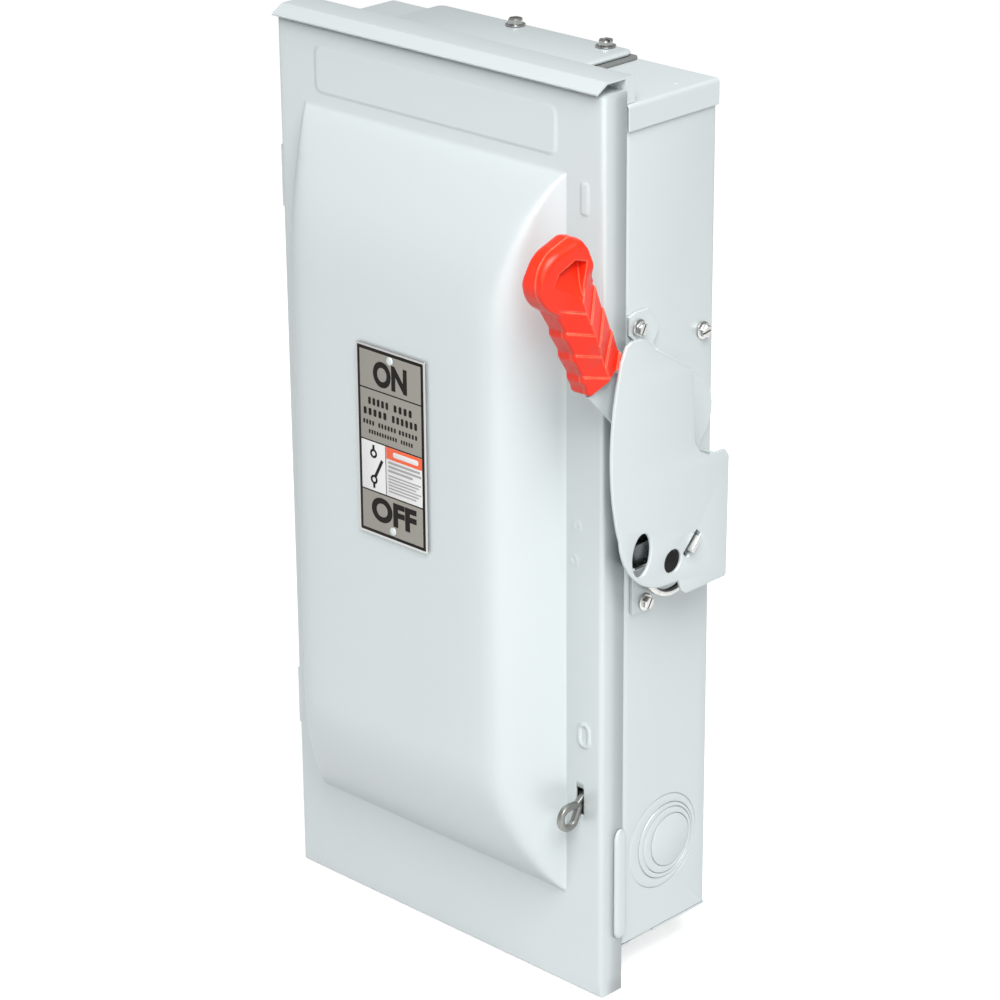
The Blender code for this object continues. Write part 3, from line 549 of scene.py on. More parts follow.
@dataclass(frozen=True)
class Finish:
    """A surface finish: a Principled shader with grain, tone, a painted edge highlight and dust."""

    name: str
    slot: Slot
    colour: Colour
    roughness: float
    metallic: float = 0.0
    grain_scale: float = 900.0
    grain_depth: float = 0.02
    stretch: float = 1.0
    tone_scale: float = 12.0
    tone_depth: float = 0.03
    rough_depth: float = 0.08
    # Painted highlight: a lighter colour mixed onto the outer edges.
    highlight_colour: Colour = (0.85, 0.87, 0.87)
    highlight_amount: float = 0.0
    dust_amount: float = 0.0
    coat: float = 0.0
    specular: float = 0.5

    def effect(
        self, material: bpy.types.Material, tree: bpy.types.NodeTree, values: dict[str, float]
    ) -> bpy.types.Node:
        """A group node in the material, fed with object coordinates.

        Args:
            material: The material.
            tree: The effect's node group.
            values: Value of each of its number inputs.

        Returns:
            The node.
        """
        nodes, links = material.node_tree.nodes, material.node_tree.links
        places = nodes.get("Places") or nodes.new("ShaderNodeTexCoord")
        places.name = "Places"
        node = nodes.new("ShaderNodeGroup")
        node.node_tree = tree
        links.new(places.outputs["Object"], node.inputs["Vector"])
        for label, value in values.items():
            node.inputs[label].default_value = value
        return node

    def mix(
        self, material: bpy.types.Material, share: bpy.types.NodeSocket,
        first: bpy.types.NodeSocket | Colour, second: bpy.types.NodeSocket | Colour,
    ) -> bpy.types.NodeSocket:
        """A colour between two others.

        Args:
            material: The material.
            share: Socket of the second colour's share.
            first: The colour at share 0.
            second: The colour at share 1.

        Returns:
            The mixed colour's socket.
        """
        nodes, links = material.node_tree.nodes, material.node_tree.links
        node = nodes.new("ShaderNodeMix")
        node.data_type = "RGBA"
        links.new(share, node.inputs["Factor"])
        for socket, value in ((node.inputs[6], first), (node.inputs[7], second)):
            if isinstance(value, tuple):
                socket.default_value = (*value, 1.0)
            else:
                links.new(value, socket)
        return node.outputs[2]

    def material(self) -> bpy.types.Material:
        """The finish as a material.

        Returns:
            The material, made the first time it is asked for.
        """
        found = bpy.data.materials.get(self.name)
        if found:
            return found
        material = bpy.data.materials.new(self.name)
        material.use_nodes = True
        nodes, links = material.node_tree.nodes, material.node_tree.links
        shader = nodes["Principled BSDF"]
        shader.inputs["Metallic"].default_value = self.metallic
        shader.inputs["Coat Weight"].default_value = self.coat
        shader.inputs["Coat Roughness"].default_value = 0.25
        shader.inputs["Specular IOR Level"].default_value = self.specular
        values = {"Scale": self.grain_scale, "Tone Scale": self.tone_scale, "Stretch": self.stretch}
        grain = self.effect(material, Effects.grain(), values)
        dark = tuple(c * (1.0 - self.tone_depth) for c in self.colour)
        light = tuple(min(c * (1.0 + self.tone_depth), 1.0) for c in self.colour)
        colour = self.mix(material, grain.outputs["Tone"], dark, light)
        # Painted highlight: the outer edges are mixed towards the lighter highlight colour.
        if self.highlight_amount:
            edge_highlight = self.effect(material, Effects.painted_edge_highlight(), {"Amount": self.highlight_amount})
            colour = self.mix(material, edge_highlight.outputs["Mask"], colour, self.highlight_colour)
        if self.dust_amount:
            dust = self.effect(material, Effects.dust(), {"Amount": self.dust_amount})
            colour = self.mix(material, dust.outputs["Mask"], colour, DUST_COLOUR)
        links.new(colour, shader.inputs["Base Color"])
        rough = nodes.new("ShaderNodeMapRange")
        rough.inputs["To Min"].default_value = max(self.roughness - self.rough_depth, 0.02)
        rough.inputs["To Max"].default_value = min(self.roughness + self.rough_depth, 1.0)
        links.new(grain.outputs["Tone"], rough.inputs["Value"])
        links.new(rough.outputs["Result"], shader.inputs["Roughness"])
        bump = nodes.new("ShaderNodeBump")
        bump.inputs["Strength"].default_value = 1.0
        bump.inputs["Distance"].default_value = self.grain_depth * MM
        links.new(grain.outputs["Height"], bump.inputs["Height"])
        links.new(bump.outputs["Normal"], shader.inputs["Normal"])
        return material


# The lighter edge colours of these finishes are painted highlights.
ENAMEL = Finish(
    "grey_enamel", Slot.ENAMEL, (0.595, 0.650, 0.655), 0.36, grain_scale=750.0, grain_depth=0.012,
    tone_depth=0.012, highlight_amount=0.35, dust_amount=0.06,
)
ZINC = Finish(
    "zinc_plating", Slot.ZINC, (0.50, 0.50, 0.485), 0.24, 1.0, grain_scale=1600.0, grain_depth=0.01,
    tone_scale=260.0, tone_depth=0.22, rough_depth=0.10, highlight_colour=(0.80, 0.80, 0.78), highlight_amount=0.7,
)
# Zinc darkened to a painted shade, for pieces that stand in shadow behind the guard.
ZINC_IN_PAINTED_SHADE = Finish(
    "zinc_in_painted_shade", Slot.ZINC, (0.105, 0.118, 0.128), 0.26, 1.0, grain_scale=1600.0, grain_depth=0.01,
    tone_scale=200.0, tone_depth=0.30, highlight_colour=(0.42, 0.44, 0.44), highlight_amount=0.8,
)
CAST_ZINC = Finish(
    "cast_zinc", Slot.CAST_ZINC, (0.235, 0.238, 0.225), 0.38, 0.8, grain_scale=1300.0, grain_depth=0.03,
    tone_scale=180.0, tone_depth=0.12, highlight_colour=(0.72, 0.72, 0.70), highlight_amount=0.8,
)
# The grip's pale orange edge colour is a painted highlight.
RED = Finish(
    "red_grip", Slot.RED, (0.92, 0.030, 0.008), 0.34, grain_scale=1400.0, grain_depth=0.012,
    tone_depth=0.03, highlight_colour=(1.0, 0.50, 0.32), highlight_amount=0.9, specular=0.32,
)
BLACK = Finish(
    "black_moulding", Slot.BLACK, (0.028, 0.028, 0.03), 0.48, grain_scale=1100.0, grain_depth=0.03,
    tone_depth=0.15, highlight_colour=(0.12, 0.12, 0.125), highlight_amount=0.6, dust_amount=0.15,
)
FIBRE = Finish(
    "fibre_sheet", Slot.FIBRE, (0.52, 0.50, 0.44), 0.55, grain_scale=500.0, grain_depth=0.02,
    stretch=0.15, tone_scale=90.0, tone_depth=0.10, dust_amount=0.1,
)
RUBBER = Finish(
    "gasket_rubber", Slot.RUBBER, (0.16, 0.168, 0.165), 0.72, grain_scale=900.0, grain_depth=0.04,
    tone_depth=0.15, dust_amount=0.25,
)
ALUMINIUM = Finish(
    "drawn_aluminium", Slot.ALUMINIUM, (0.76, 0.77, 0.78), 0.32, 1.0, grain_scale=1500.0,
    grain_depth=0.008, stretch=0.06, tone_scale=400.0, tone_depth=0.10,
)
COPPER = Finish(
    "tinned_copper", Slot.COPPER, (0.80, 0.45, 0.27), 0.27, 1.0, grain_scale=1500.0,
    grain_depth=0.008, stretch=0.06, tone_scale=300.0, tone_depth=0.12,
)
LABEL_RIM = Finish(
    "label_rim", Slot.LABEL, (0.46, 0.46, 0.45), 0.34, 1.0, grain_scale=1800.0, grain_depth=0.004,
    stretch=0.05, tone_scale=300.0, tone_depth=0.06,
)
LABEL_FIELD = Finish(
    "label_field", Slot.LABEL, (0.275, 0.262, 0.232), 0.40, 0.25, grain_scale=2200.0,
    grain_depth=0.004, stretch=0.04, tone_scale=500.0, tone_depth=0.07,
)
LABEL_BLACK = Finish(
    "label_black", Slot.LABEL, (0.008, 0.007, 0.006), 0.55, grain_scale=1500.0, grain_depth=0.004,
    tone_scale=200.0, tone_depth=0.25, specular=0.12,
)
LABEL_WHITE = Finish(
    "label_white", Slot.LABEL, (0.80, 0.80, 0.80), 0.40, grain_scale=1500.0, grain_depth=0.004,
    tone_scale=200.0, tone_depth=0.02,
)
LABEL_ORANGE = Finish(
    "label_orange", Slot.LABEL, (0.88, 0.115, 0.030), 0.40, grain_scale=1500.0, grain_depth=0.004,
    tone_scale=200.0, tone_depth=0.04,
)
LABEL_GREY = Finish(
    "label_print_grey", Slot.LABEL, (0.36, 0.36, 0.36), 0.45, grain_scale=1500.0, grain_depth=0.004,
    tone_scale=300.0, tone_depth=0.10,
)


def dress(piece: Thing, finish: Finish, body: str, *nodes: str, crease: float = 32.0) -> None:
    """The last steps of every piece: finish, shading, body and the nodes that it stands for.

    Args:
        piece: The piece.
        finish: Its finish.
        body: The body that it moves with.
        nodes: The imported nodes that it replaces.
        crease: Angle above which an edge stays sharp.
    """
    piece.data.materials.clear()
    piece.data.materials.append(finish.material())
    piece.data.shade_smooth()
    piece.data.set_sharp_from_angle(angle=math.radians(crease))
    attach(piece, body)
    if nodes:
        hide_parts(*nodes)
    LOG.info("%s: %s on %s, %d faces", piece.name, finish.name, body, len(piece.data.polygons))


# ------------------------------------------------------------------ screws


@dataclass
class HexScrew:
    """A slotted hex screw with a washer under its head, turned by some degrees."""

    name: str
    across: Across
    node: str
    turn: float
    flat_share: float = 0.66
    slot_half: float = 0.65
    slot_depth: float = 1.3
    bevel: float = 0.6

    def head(self, centre: np.ndarray, flat: float, low: float, high: float) -> Thing:
        """The hexagon with its slot.

        Along the slot's direction u the half width is R - |u| / sqrt(3), with R the corner radius
        2a / sqrt(3); each section is a rectangle with the slot cut into its top.

        Args:
            centre: The axis's place in the plane across it.
            flat: Half the width across flats, the a of the formula.
            low: Height of the hexagon's foot.
            high: Height of its top.

        Returns:
            The object.
        """
        radius = 2.0 * flat / math.sqrt(3.0)
        bevel = self.bevel
        u = np.array([-1.0, -0.86, -0.5, 0.0, 0.5, 0.86, 1.0]) * flat
        half = radius - np.abs(u) / math.sqrt(3.0)
        drop = np.array([1.0, 0.15, 0.0, 0.0, 0.0, 0.15, 1.0]) * bevel
        groove = np.full_like(u, self.slot_half)
        sides = [-half, -half, -half + bevel, -groove, -groove, groove, groove, half - bevel, half, half]
        v = np.stack(sides, axis=1)
        top, foot = high - drop, np.full_like(u, low)
        floor = np.full_like(u, high - self.slot_depth)
        height = np.stack([foot, top - bevel, top, top, floor, floor, top, top, top - bevel, foot], axis=1)
        lean = math.radians(self.turn)
        a = centre[0] + u[:, None] * math.cos(lean) - v * math.sin(lean)
        b = centre[1] + u[:, None] * math.sin(lean) + v * math.cos(lean)
        return loft(self.name, self.across.place(a, b, height))

    def build(self) -> None:
        """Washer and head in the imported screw's box, dressed in zinc."""
        low, high = corners_of(self.node)
        centre = (low + high) / 2.0
        first, second, along = self.across.value
        middle = np.array([centre[first], centre[second]])
        reach = (high[first] - low[first]) / 2.0
        seat, top = low[along], high[along]
        washer = turned(
            f"{self.name}_washer", self.across, tuple(middle),
            [(seat, 1.0), (seat, reach - 0.3), (seat + 0.3, reach), (seat + 0.8, reach - 0.1),
             (seat + 1.3, reach - 1.3), (seat + 1.3, 1.0)],
        )
        head = self.head(middle, self.flat_share * reach, seat + 0.9, top)
        dress(fused(self.name, [washer, head]), ZINC, "enclosure", self.node)


# ------------------------------------------------------------------ enclosure


@dataclass
class Enclosure:
    """The fixed sheet metal of the box with its knockouts, hood, hub cover and hinges."""

    knockout_gap: float = 0.22
    knockout_edge: float = 0.55
    packed_gap: float = 0.3
    bead_shift: Pair = (3.6, 2.6)
    bead_taper: Pair = (6.0, 8.0)
    bead_middle: float = -83.5
    bead_half: float = 5.0
    bead_seat: float = 136.3
    dimple: Pair = (125.0, -26.0)
    sheets: dict[str, float] = field(
        default_factory=lambda: {
            "enclosure_body": 0.45, "top_endwall": 0.5, "bottom_endwall": 0.4, "drip_hood": 0.45,
            "hub_cover_plate": 0.0, "hinge_upper_box_leaf": 0.3, "hinge_lower_box_leaf": 0.3,
        }
    )

    def knockout(self, number: int) -> Thing:
        """One knockout ring, or the slug in the middle.

        Each point lies between the outer circle and the circle of the next ring: a section with
        rounded edges is carried round both circles at once.

        Args:
            number: 1 for the outermost ring, 4 for the slug.

        Returns:
            The object.
        """
        low, high = corners_of(f"knockout_ring_{number}")
        outer_centre = (low[1:] + high[1:]) / 2.0
        outer = (high[1] - low[1]) / 2.0 + self.packed_gap - self.knockout_gap / 2.0
        edge = self.knockout_edge
        back, face = low[0], high[0]
        if number == 4:
            profile = [(back, outer), (face - edge, outer), (face - 0.3 * edge, outer - 0.3 * edge),
                       (face, outer - edge)]
            return turned("knockout_slug", Across.X, tuple(outer_centre), profile, 96)
        inner_low, inner_high = corners_of(f"knockout_ring_{number + 1}")
        inner_centre = (inner_low[1:] + inner_high[1:]) / 2.0
        inner = (inner_high[1] - inner_low[1]) / 2.0 + self.packed_gap + self.knockout_gap / 2.0
        share = np.array([0.0, 0.0, 0.06, 0.16, 0.84, 0.94, 1.0, 1.0])
        rim = [back, face - edge, face - 0.3 * edge, face]
        height = np.array(rim + rim[::-1])
        unit = circle((0.0, 0.0), 1.0, 96)
        near = inner_centre + inner * unit
        far = outer_centre + outer * unit
        share = share[None, :, None]
        points = near[:, None, :] * (1.0 - share) + far[:, None, :] * share
        rings = Across.X.place(points[..., 0], points[..., 1], np.broadcast_to(height, points.shape[:2]))
        return loft(f"knockout_ring_{number}_surface", rings, loop=True)

    def bead(self) -> Thing:
        """The anti-pry bead: a half-round section that shrinks at both ends like a boat's hull.

        Over each end's taper the section's scale is sqrt(1 - (1 - u)^2) of the share u of the way
        in, and powers of the sine and cosine square the section a little.

        Returns:
            The object.
        """
        low, high = corners_of("door_guard_bead")
        foot, tip = low[2] + self.bead_shift[0], high[2] + self.bead_shift[1]
        below, above = self.bead_taper
        z = stations((foot, foot + below, 0.7), (foot + below, tip - above, 6.0), (tip - above, tip, 0.7))
        reach = np.minimum(np.minimum((z - foot) / below, (tip - z) / above), 1.0)
        swell = np.sqrt(np.maximum(1.0 - (1.0 - reach) ** 2, 0.0004))
        angle = np.linspace(0.0, np.pi, 15)
        swing = np.sign(np.cos(angle)) * np.abs(np.cos(angle)) ** 0.7
        y = self.bead_middle + self.bead_half * swell[:, None] * swing
        x = self.bead_seat + (high[0] - self.bead_seat) * swell[:, None] ** 0.8 * np.sin(angle) ** 0.8
        return loft("door_guard_bead_surface", Across.Z.place(x, y, z[:, None]))

    def build(self) -> None:
        """Builds and dresses every fixed piece of the box."""
        for node, edge in self.sheets.items():
            dress(refined(node, edge), ENAMEL, "enclosure", node)
        dress(refined("hub_gasket", 0.3), RUBBER, "enclosure", "hub_gasket")
        dress(self.bead(), ENAMEL, "enclosure", "door_guard_bead")
        top = corners_of("top_endwall")[1][2]
        crown = [(top - 0.4, 1.9), (top + 0.1, 1.9), (top + 0.35, 1.2)]
        dress(turned("cap_dimple", Across.Z, self.dimple, crown, 24), ENAMEL, "enclosure")
        for number in range(1, 5):
            dress(self.knockout(number), ENAMEL, "enclosure", f"knockout_ring_{number}")
        for side, turn in (("left", 35.0), ("right", -20.0)):
            HexScrew(f"hub_{side}_screw_head", Across.Z, f"hub_screw_{side}", turn).build()


# ------------------------------------------------------------------ door


@dataclass
class Dome:
    """The drawn panel: a soft minimum of two drafted sides and two swept ends."""

    left: float = -112.6
    right: float = 106.8
    bottom: float = -236.2
    top: float = 232.5
    height: float = 40.0
    draft: float = 21.0
    end: float = 90.0
    end_gain: float = 1.04
    end_power: float = 0.8
    softness: float = 5.0
    foot: float = 0.7

    def rise(self, x: np.ndarray, z: np.ndarray) -> np.ndarray:
        """Height above the door's face.

        The sides rise as height * d / draft over the distance d from them, and the ends as
        end_gain * height * sin(pi / 2 * d / end) ** end_power. Their soft minimum is
        (sum of a ** -p) ** (-1 / p), and sqrt(h * h + f * f) - f softens its foot.

        Args:
            x: Places across the door.
            z: Places up the door.

        Returns:
            The height at each place.
        """
        left = np.maximum(x - self.left, 1e-3) / self.draft * self.height
        right = np.maximum(self.right - x, 1e-3) / self.draft * self.height
        reach = np.clip(np.minimum(z - self.bottom, self.top - z), 0.0, self.end)
        ends = self.end_gain * self.height * np.sin(np.pi / 2.0 * reach / self.end) ** self.end_power + 1e-3
        p = self.softness
        level = (left ** -p + right ** -p + ends ** -p) ** (-1.0 / p)
        outside = (x < self.left) | (x > self.right) | (z < self.bottom) | (z > self.top)
        level = np.where(outside, 0.0, level)
        return np.sqrt(level ** 2 + self.foot ** 2) - self.foot


@dataclass
class Emboss:
    """A rounded rectangle pressed out of the sheet, or a ring if its wall has a width."""

    x: float
    z: float
    half_w: float
    half_h: float
    radius: float
    height: float
    edge: float = 1.2
    wall: float = 0.0

    def rise(self, x: np.ndarray, z: np.ndarray) -> np.ndarray:
        """Height of the pressing: a cubic step over the signed distance to the outline.

        Args:
            x: Places across the door.
            z: Places up the door.

        Returns:
            The height at each place.
        """
        u = np.abs(x - self.x) - (self.half_w - self.radius)
        v = np.abs(z - self.z) - (self.half_h - self.radius)
        distance = np.hypot(np.maximum(u, 0.0), np.maximum(v, 0.0)) + np.minimum(np.maximum(u, v), 0.0)
        distance = distance - self.radius
        if self.wall:
            distance = np.abs(distance + self.wall / 2.0) - self.wall / 2.0
        return self.height * (1.0 - smooth(-self.edge / 2.0, self.edge / 2.0, distance))


@dataclass
class Door:
    """The door pan with its drawn dome, pressed marks and latch slot."""

    sheet: float = 1.5
    face: float = -100.0
    edge_radius: float = 3.0
    dome: Dome = field(default_factory=Dome)
    slot_x: Pair = (115.0, 121.3)
    slot_z: Pair = (-177.8, -159.3)
    marks: list[Emboss] = field(
        default_factory=lambda: [
            Emboss(121.45, 219.9, 2.9, 9.5, 1.2, 0.9),
            Emboss(121.6, -122.6, 5.2, 8.5, 5.2, 0.9, wall=2.6),
            Emboss(115.4, 14.7, 3.4, 3.4, 3.4, 0.5, edge=1.6, wall=1.6),
            Emboss(113.0, -8.2, 3.4, 3.4, 3.4, 0.5, edge=1.6, wall=1.6),
            Emboss(-1.5, 256.0, 100.5, 14.5, 5.0, 0.9, edge=2.4),
        ]
    )

    def skin(self) -> Thing:
        """The pan: a height map over a grid whose lines crowd where it bends, and a rolled border.

        The border carries the grid's edge round a quarter circle of edge_radius and back along the
        flange. Solidify gives the sheet its thickness behind the outer surface.

        Returns:
            The object.
        """
        low, high = corners_of("door_shell")
        r = self.edge_radius
        dome = self.dome
        face, rear = self.face, high[1]
        x = stations(
            (low[0] + r, dome.left, 5.0), (dome.left, dome.left + 26.0, 1.1), (dome.left + 26.0, -40.0, 5.0),
            (-40.0, 60.0, 10.0), (60.0, dome.right - 26.0, 5.0), (dome.right - 26.0, dome.right + 1.0, 1.0),
            (dome.right + 1.0, self.slot_x[0], 0.85), (*self.slot_x, 0.9), (self.slot_x[1], 128.0, 0.8),
            (128.0, high[0] - r, 2.5),
        )
        z = stations(
            (low[2] + r, dome.bottom - 2.0, 9.0), (dome.bottom - 2.0, dome.bottom + 12.0, 1.3),
            (dome.bottom + 12.0, self.slot_z[0], 4.0), (*self.slot_z, 3.0), (self.slot_z[1], -133.0, 5.0),
            (-133.0, -112.0, 0.8), (-112.0, -14.0, 8.0), (-14.0, 20.0, 1.5), (20.0, 208.0, 8.0),
            (208.0, 231.0, 0.9), (231.0, 238.5, 1.2), (238.5, 245.0, 0.8), (245.0, 267.0, 5.0),
            (267.0, 273.5, 0.8), (273.5, high[2] - r, 3.2),
        )
        grid_x, grid_z = np.meshgrid(x, z, indexing="ij")
        height = dome.rise(grid_x, grid_z) + sum(mark.rise(grid_x, grid_z) for mark in self.marks)
        points = Across.Y.place(grid_x, grid_z, face - height).reshape(-1, 3)
        rows, columns = len(x), len(z)
        middle_x = ((x[:-1] + x[1:]) / 2.0)[:, None]
        middle_z = ((z[:-1] + z[1:]) / 2.0)[None, :]
        slot = (middle_x > self.slot_x[0]) & (middle_x < self.slot_x[1])
        slot = slot & (middle_z > self.slot_z[0]) & (middle_z < self.slot_z[1])
        quads = grid_faces(rows, columns)[~slot.ravel()]
        i, j = np.arange(rows), np.arange(columns)
        last_i, last_j = np.full(columns - 1, rows - 1), np.full(rows - 1, columns - 1)
        edge_i = np.concatenate([i[:-1], last_i, i[:0:-1], 0 * last_i])
        edge_j = np.concatenate([0 * last_j, j[:-1], last_j, j[:0:-1]])
        side_x = (edge_i == rows - 1).astype(float) - (edge_i == 0)
        side_z = (edge_j == columns - 1).astype(float) - (edge_j == 0)
        angle = np.radians(np.linspace(0.0, 90.0, 7))[1:]
        out = np.concatenate([r * np.sin(angle), [r]])
        back = np.concatenate([r * (1.0 - np.cos(angle)), [rear - face]])
        border = Across.Y.place(
            x[edge_i] + side_x * out[:, None], z[edge_j] + side_z * out[:, None], (face + back)[:, None]
        )
        count = len(edge_i)
        added = len(points) + np.arange(len(out) * count).reshape(-1, count)
        ring = np.concatenate([(edge_i * columns + edge_j)[None, :], added])
        after = np.roll(ring, -1, axis=1)
        strip = np.stack([ring[:-1], ring[1:], after[1:], after[:-1]], axis=-1).reshape(-1, 4)
        everything = np.concatenate([points, border.reshape(-1, 3)])
        faces = np.concatenate([quads[:, ::-1], strip[:, ::-1]])
        skin = piece_from("door_skin", everything, faces.tolist(), closed=False)
        work = bmesh.new()
        work.from_mesh(skin.data)
        bmesh.ops.recalc_face_normals(work, faces=work.faces)
        work.to_mesh(skin.data)
        work.free()
        if skin.data.polygons[len(skin.data.polygons) // 3].normal.y > 0.0:
            skin.data.flip_normals()
        wall = skin.modifiers.new("Solidify", "SOLIDIFY")
        wall.thickness = self.sheet * MM
        wall.offset = -1.0
        return skin

    def build(self) -> None:
        """Builds the pan, the latch bracket and the door's hinge leaves."""
        dress(self.skin(), ENAMEL, "door", "door_shell", crease=40.0)
        dress(refined("latch_bracket", 0.3), ZINC, "door", "latch_bracket")
        for level in ("upper", "lower"):
            node = f"hinge_{level}_door_leaf"
            dress(refined(node, 0.3), ENAMEL, "door", node)


# ------------------------------------------------------------------ nameplate


@dataclass
class Nameplate:
    """The printed metal plate: rim, black border, grey fields, white panel and lettering.

    Shares run from 0 at the plate's top to 1 at its bottom. A word has its letters, its centre's
    shift from the plate's middle, its share, its width and its height. A row of print has its share,
    its height, and the shares of the column's width at which its bars start and end.
    """

    border: float = 1.5
    line: float = 0.9
    frame_width: float = 2.1
    first_line: float = 0.228
    panel: Pair = (0.500, 0.765)
    panel_split: float = 0.40
    header: float = 0.062
    print_step: float = 0.05
    film: float = 0.9
    film_edge: float = 0.01
    letter_weight: float = 0.045
    rivet_z: Pair = (-8.5, 102.5)
    rivet_hole: float = 1.6
    words: tuple[tuple[str, float, float, float, float], ...] = (
        ("ON", -0.1, 0.136, 29.0, 16.6),
        ("OFF", 1.2, 0.853, 39.0, 16.2),
    )
    terminal_z: float = 8.5
    terminal_ring: Pair = (3.0, 1.5)
    lead_half: float = 0.9
    blade_lean: float = 62.0
    blade_half: float = 1.1
    blade_start: float = 2.8
    blade_length: float = 13.0

    def __post_init__(self) -> None:
        """Reads the plate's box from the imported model."""
        self.low, self.high = corners_of("nameplate")
        self.front = self.low[1]

    def level(self, share: float) -> float:
        """Height of a share of the plate, from its top."""
        return self.high[2] - share * (self.high[2] - self.low[2])

    def sheet(
        self, name: str, x: Pair, z: Pair, layer: int, finish: Finish, radius: float = 0.3
    ) -> None:
        """One printed field: a thin plate on the layers below it.

        Args:
            name: The field's name.
            x: Its left and right edges.
            z: Its bottom and top edges.
            layer: Its place in the stack, from 1.
            finish: Its finish.
            radius: Radius of its corners.
        """
        outline = rounded([(x[0], z[0]), (x[1], z[0]), (x[1], z[1]), (x[0], z[1])], radius, 4)
        surface = self.front - layer * self.print_step
        back = surface + self.print_step * self.film
        plate = cut_plate(name, Across.Y, [outline], surface, back, self.film_edge)
        dress(plate, finish, "door")

    def lettering(self, name: str, text: str, centre: Pair, width: float, height: float) -> None:
        """A word in relief, stretched to its width and height.

        Args:
            name: The piece's name.
            text: The word.
            centre: Its centre on the plate.
            width: Its width.
            height: Height of its capitals.
        """
        curve = bpy.data.curves.new(name, "FONT")
        curve.body = text
        curve.offset = self.letter_weight
        curve.extrude = 0.5
        surface = self.front - 3.2 * self.print_step

        def place(points: np.ndarray) -> np.ndarray:
            """Centres the word, stretches it and lays it on the plate.

            Args:
                points: The letters' points as they are cut.

            Returns:
                The points on the plate.
            """
            low, high = points.min(axis=0), points.max(axis=0)
            share = (points - low) / (high - low) - 0.5
            depth = surface + (0.5 - share[:, 2]) * self.print_step
            return Across.Y.place(centre[0] + share[:, 0] * width, centre[1] + share[:, 1] * height, depth)

        dress(shell_of(name, curve, place), LABEL_BLACK, "door")

    def symbol(self, centre: Pair) -> None:
        """A plain knife-switch symbol: two terminals, their leads and the open blade.

        Args:
            centre: Its centre on the plate.
        """
        x, z = centre
        y = self.front - 4 * self.print_step
        for name, dz in (("upper", self.terminal_z), ("lower", -self.terminal_z)):
            ring = [circle((x, z + dz), radius, 32) for radius in self.terminal_ring]
            terminal = cut_plate(f"symbol_{name}_terminal", Across.Y, ring, y, y + 0.04, self.film_edge)
            dress(terminal, LABEL_BLACK, "door")
            lead = tuple(sorted((z + dz * 1.3, z + dz * 1.66)))
            width = (x - self.lead_half, x + self.lead_half)
            self.sheet(f"symbol_{name}_lead", width, lead, 4, LABEL_BLACK, 0.1)
        lean = math.radians(self.blade_lean)
        along = np.array([math.cos(lean), math.sin(lean)])
        side = np.array([-along[1], along[0]]) * self.blade_half
        start = np.array([x, z - self.terminal_z]) + along * self.blade_start
        end = start + along * self.blade_length
        blade = np.array([start - side, end - side, end + side, start + side])
        dress(cut_plate("symbol_blade", Across.Y, [blade], y, y + 0.04, self.film_edge), LABEL_BLACK, "door")

    def print_lines(
        self, x: Pair, rows: list[tuple[float, float, float, float]], name: str, finish: Finish
    ) -> None:
        """Plain bars where the plate has small print; a tall row is broken into upright blocks.

        Args:
            x: Left and right edges of the column.
            rows: The rows of print.
            name: Start of the bars' names.
            finish: Their finish.
        """
        surface = self.front - 4 * self.print_step
        span = x[1] - x[0]
        for number, (share, tall, start, end) in enumerate(rows, start=1):
            z = self.level(share)
            blocks = max(round((end - start) * span / (0.86 * tall)), 1) if tall > 2.0 else 1
            cell = (end - start) * span / blocks
            left = x[0] + start * span + cell * np.arange(blocks)
            width = 0.58 * cell if blocks > 1 else cell
            below, above = z - tall / 2.0, z + tall / 2.0
            pieces = []
            for a in left:
                block = [(a, below), (a + width, below), (a + width, above), (a, above)]
                outline = rounded(block, min(tall, width) / 3.0, 3)
                back = surface + self.print_step * self.film
                pieces.append(cut_plate(f"{name}_block", Across.Y, [outline], surface, back, self.film_edge))
            dress(fused(f"{name}_{number}", pieces), finish, "door")

    def rivet(self, node: str) -> None:
        """A domed rivet head: radius r * cos(a) at the height h * sin(a).

        Args:
            node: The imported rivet.
        """
        low, high = corners_of(node)
        angle = np.radians(np.linspace(0.0, 84.0, 10))
        reach = (high[0] - low[0]) / 2.0
        profile = [(self.front - 4.2 * self.print_step + 0.3, reach)]
        crown = self.front - 0.2
        profile += [(crown - 1.1 * math.sin(a), reach * math.cos(a)) for a in angle]
        centre = ((low[0] + high[0]) / 2.0, (low[2] + high[2]) / 2.0)
        dress(turned(f"{node}_head", Across.Y, centre, profile, 32), ENAMEL, "door", node)

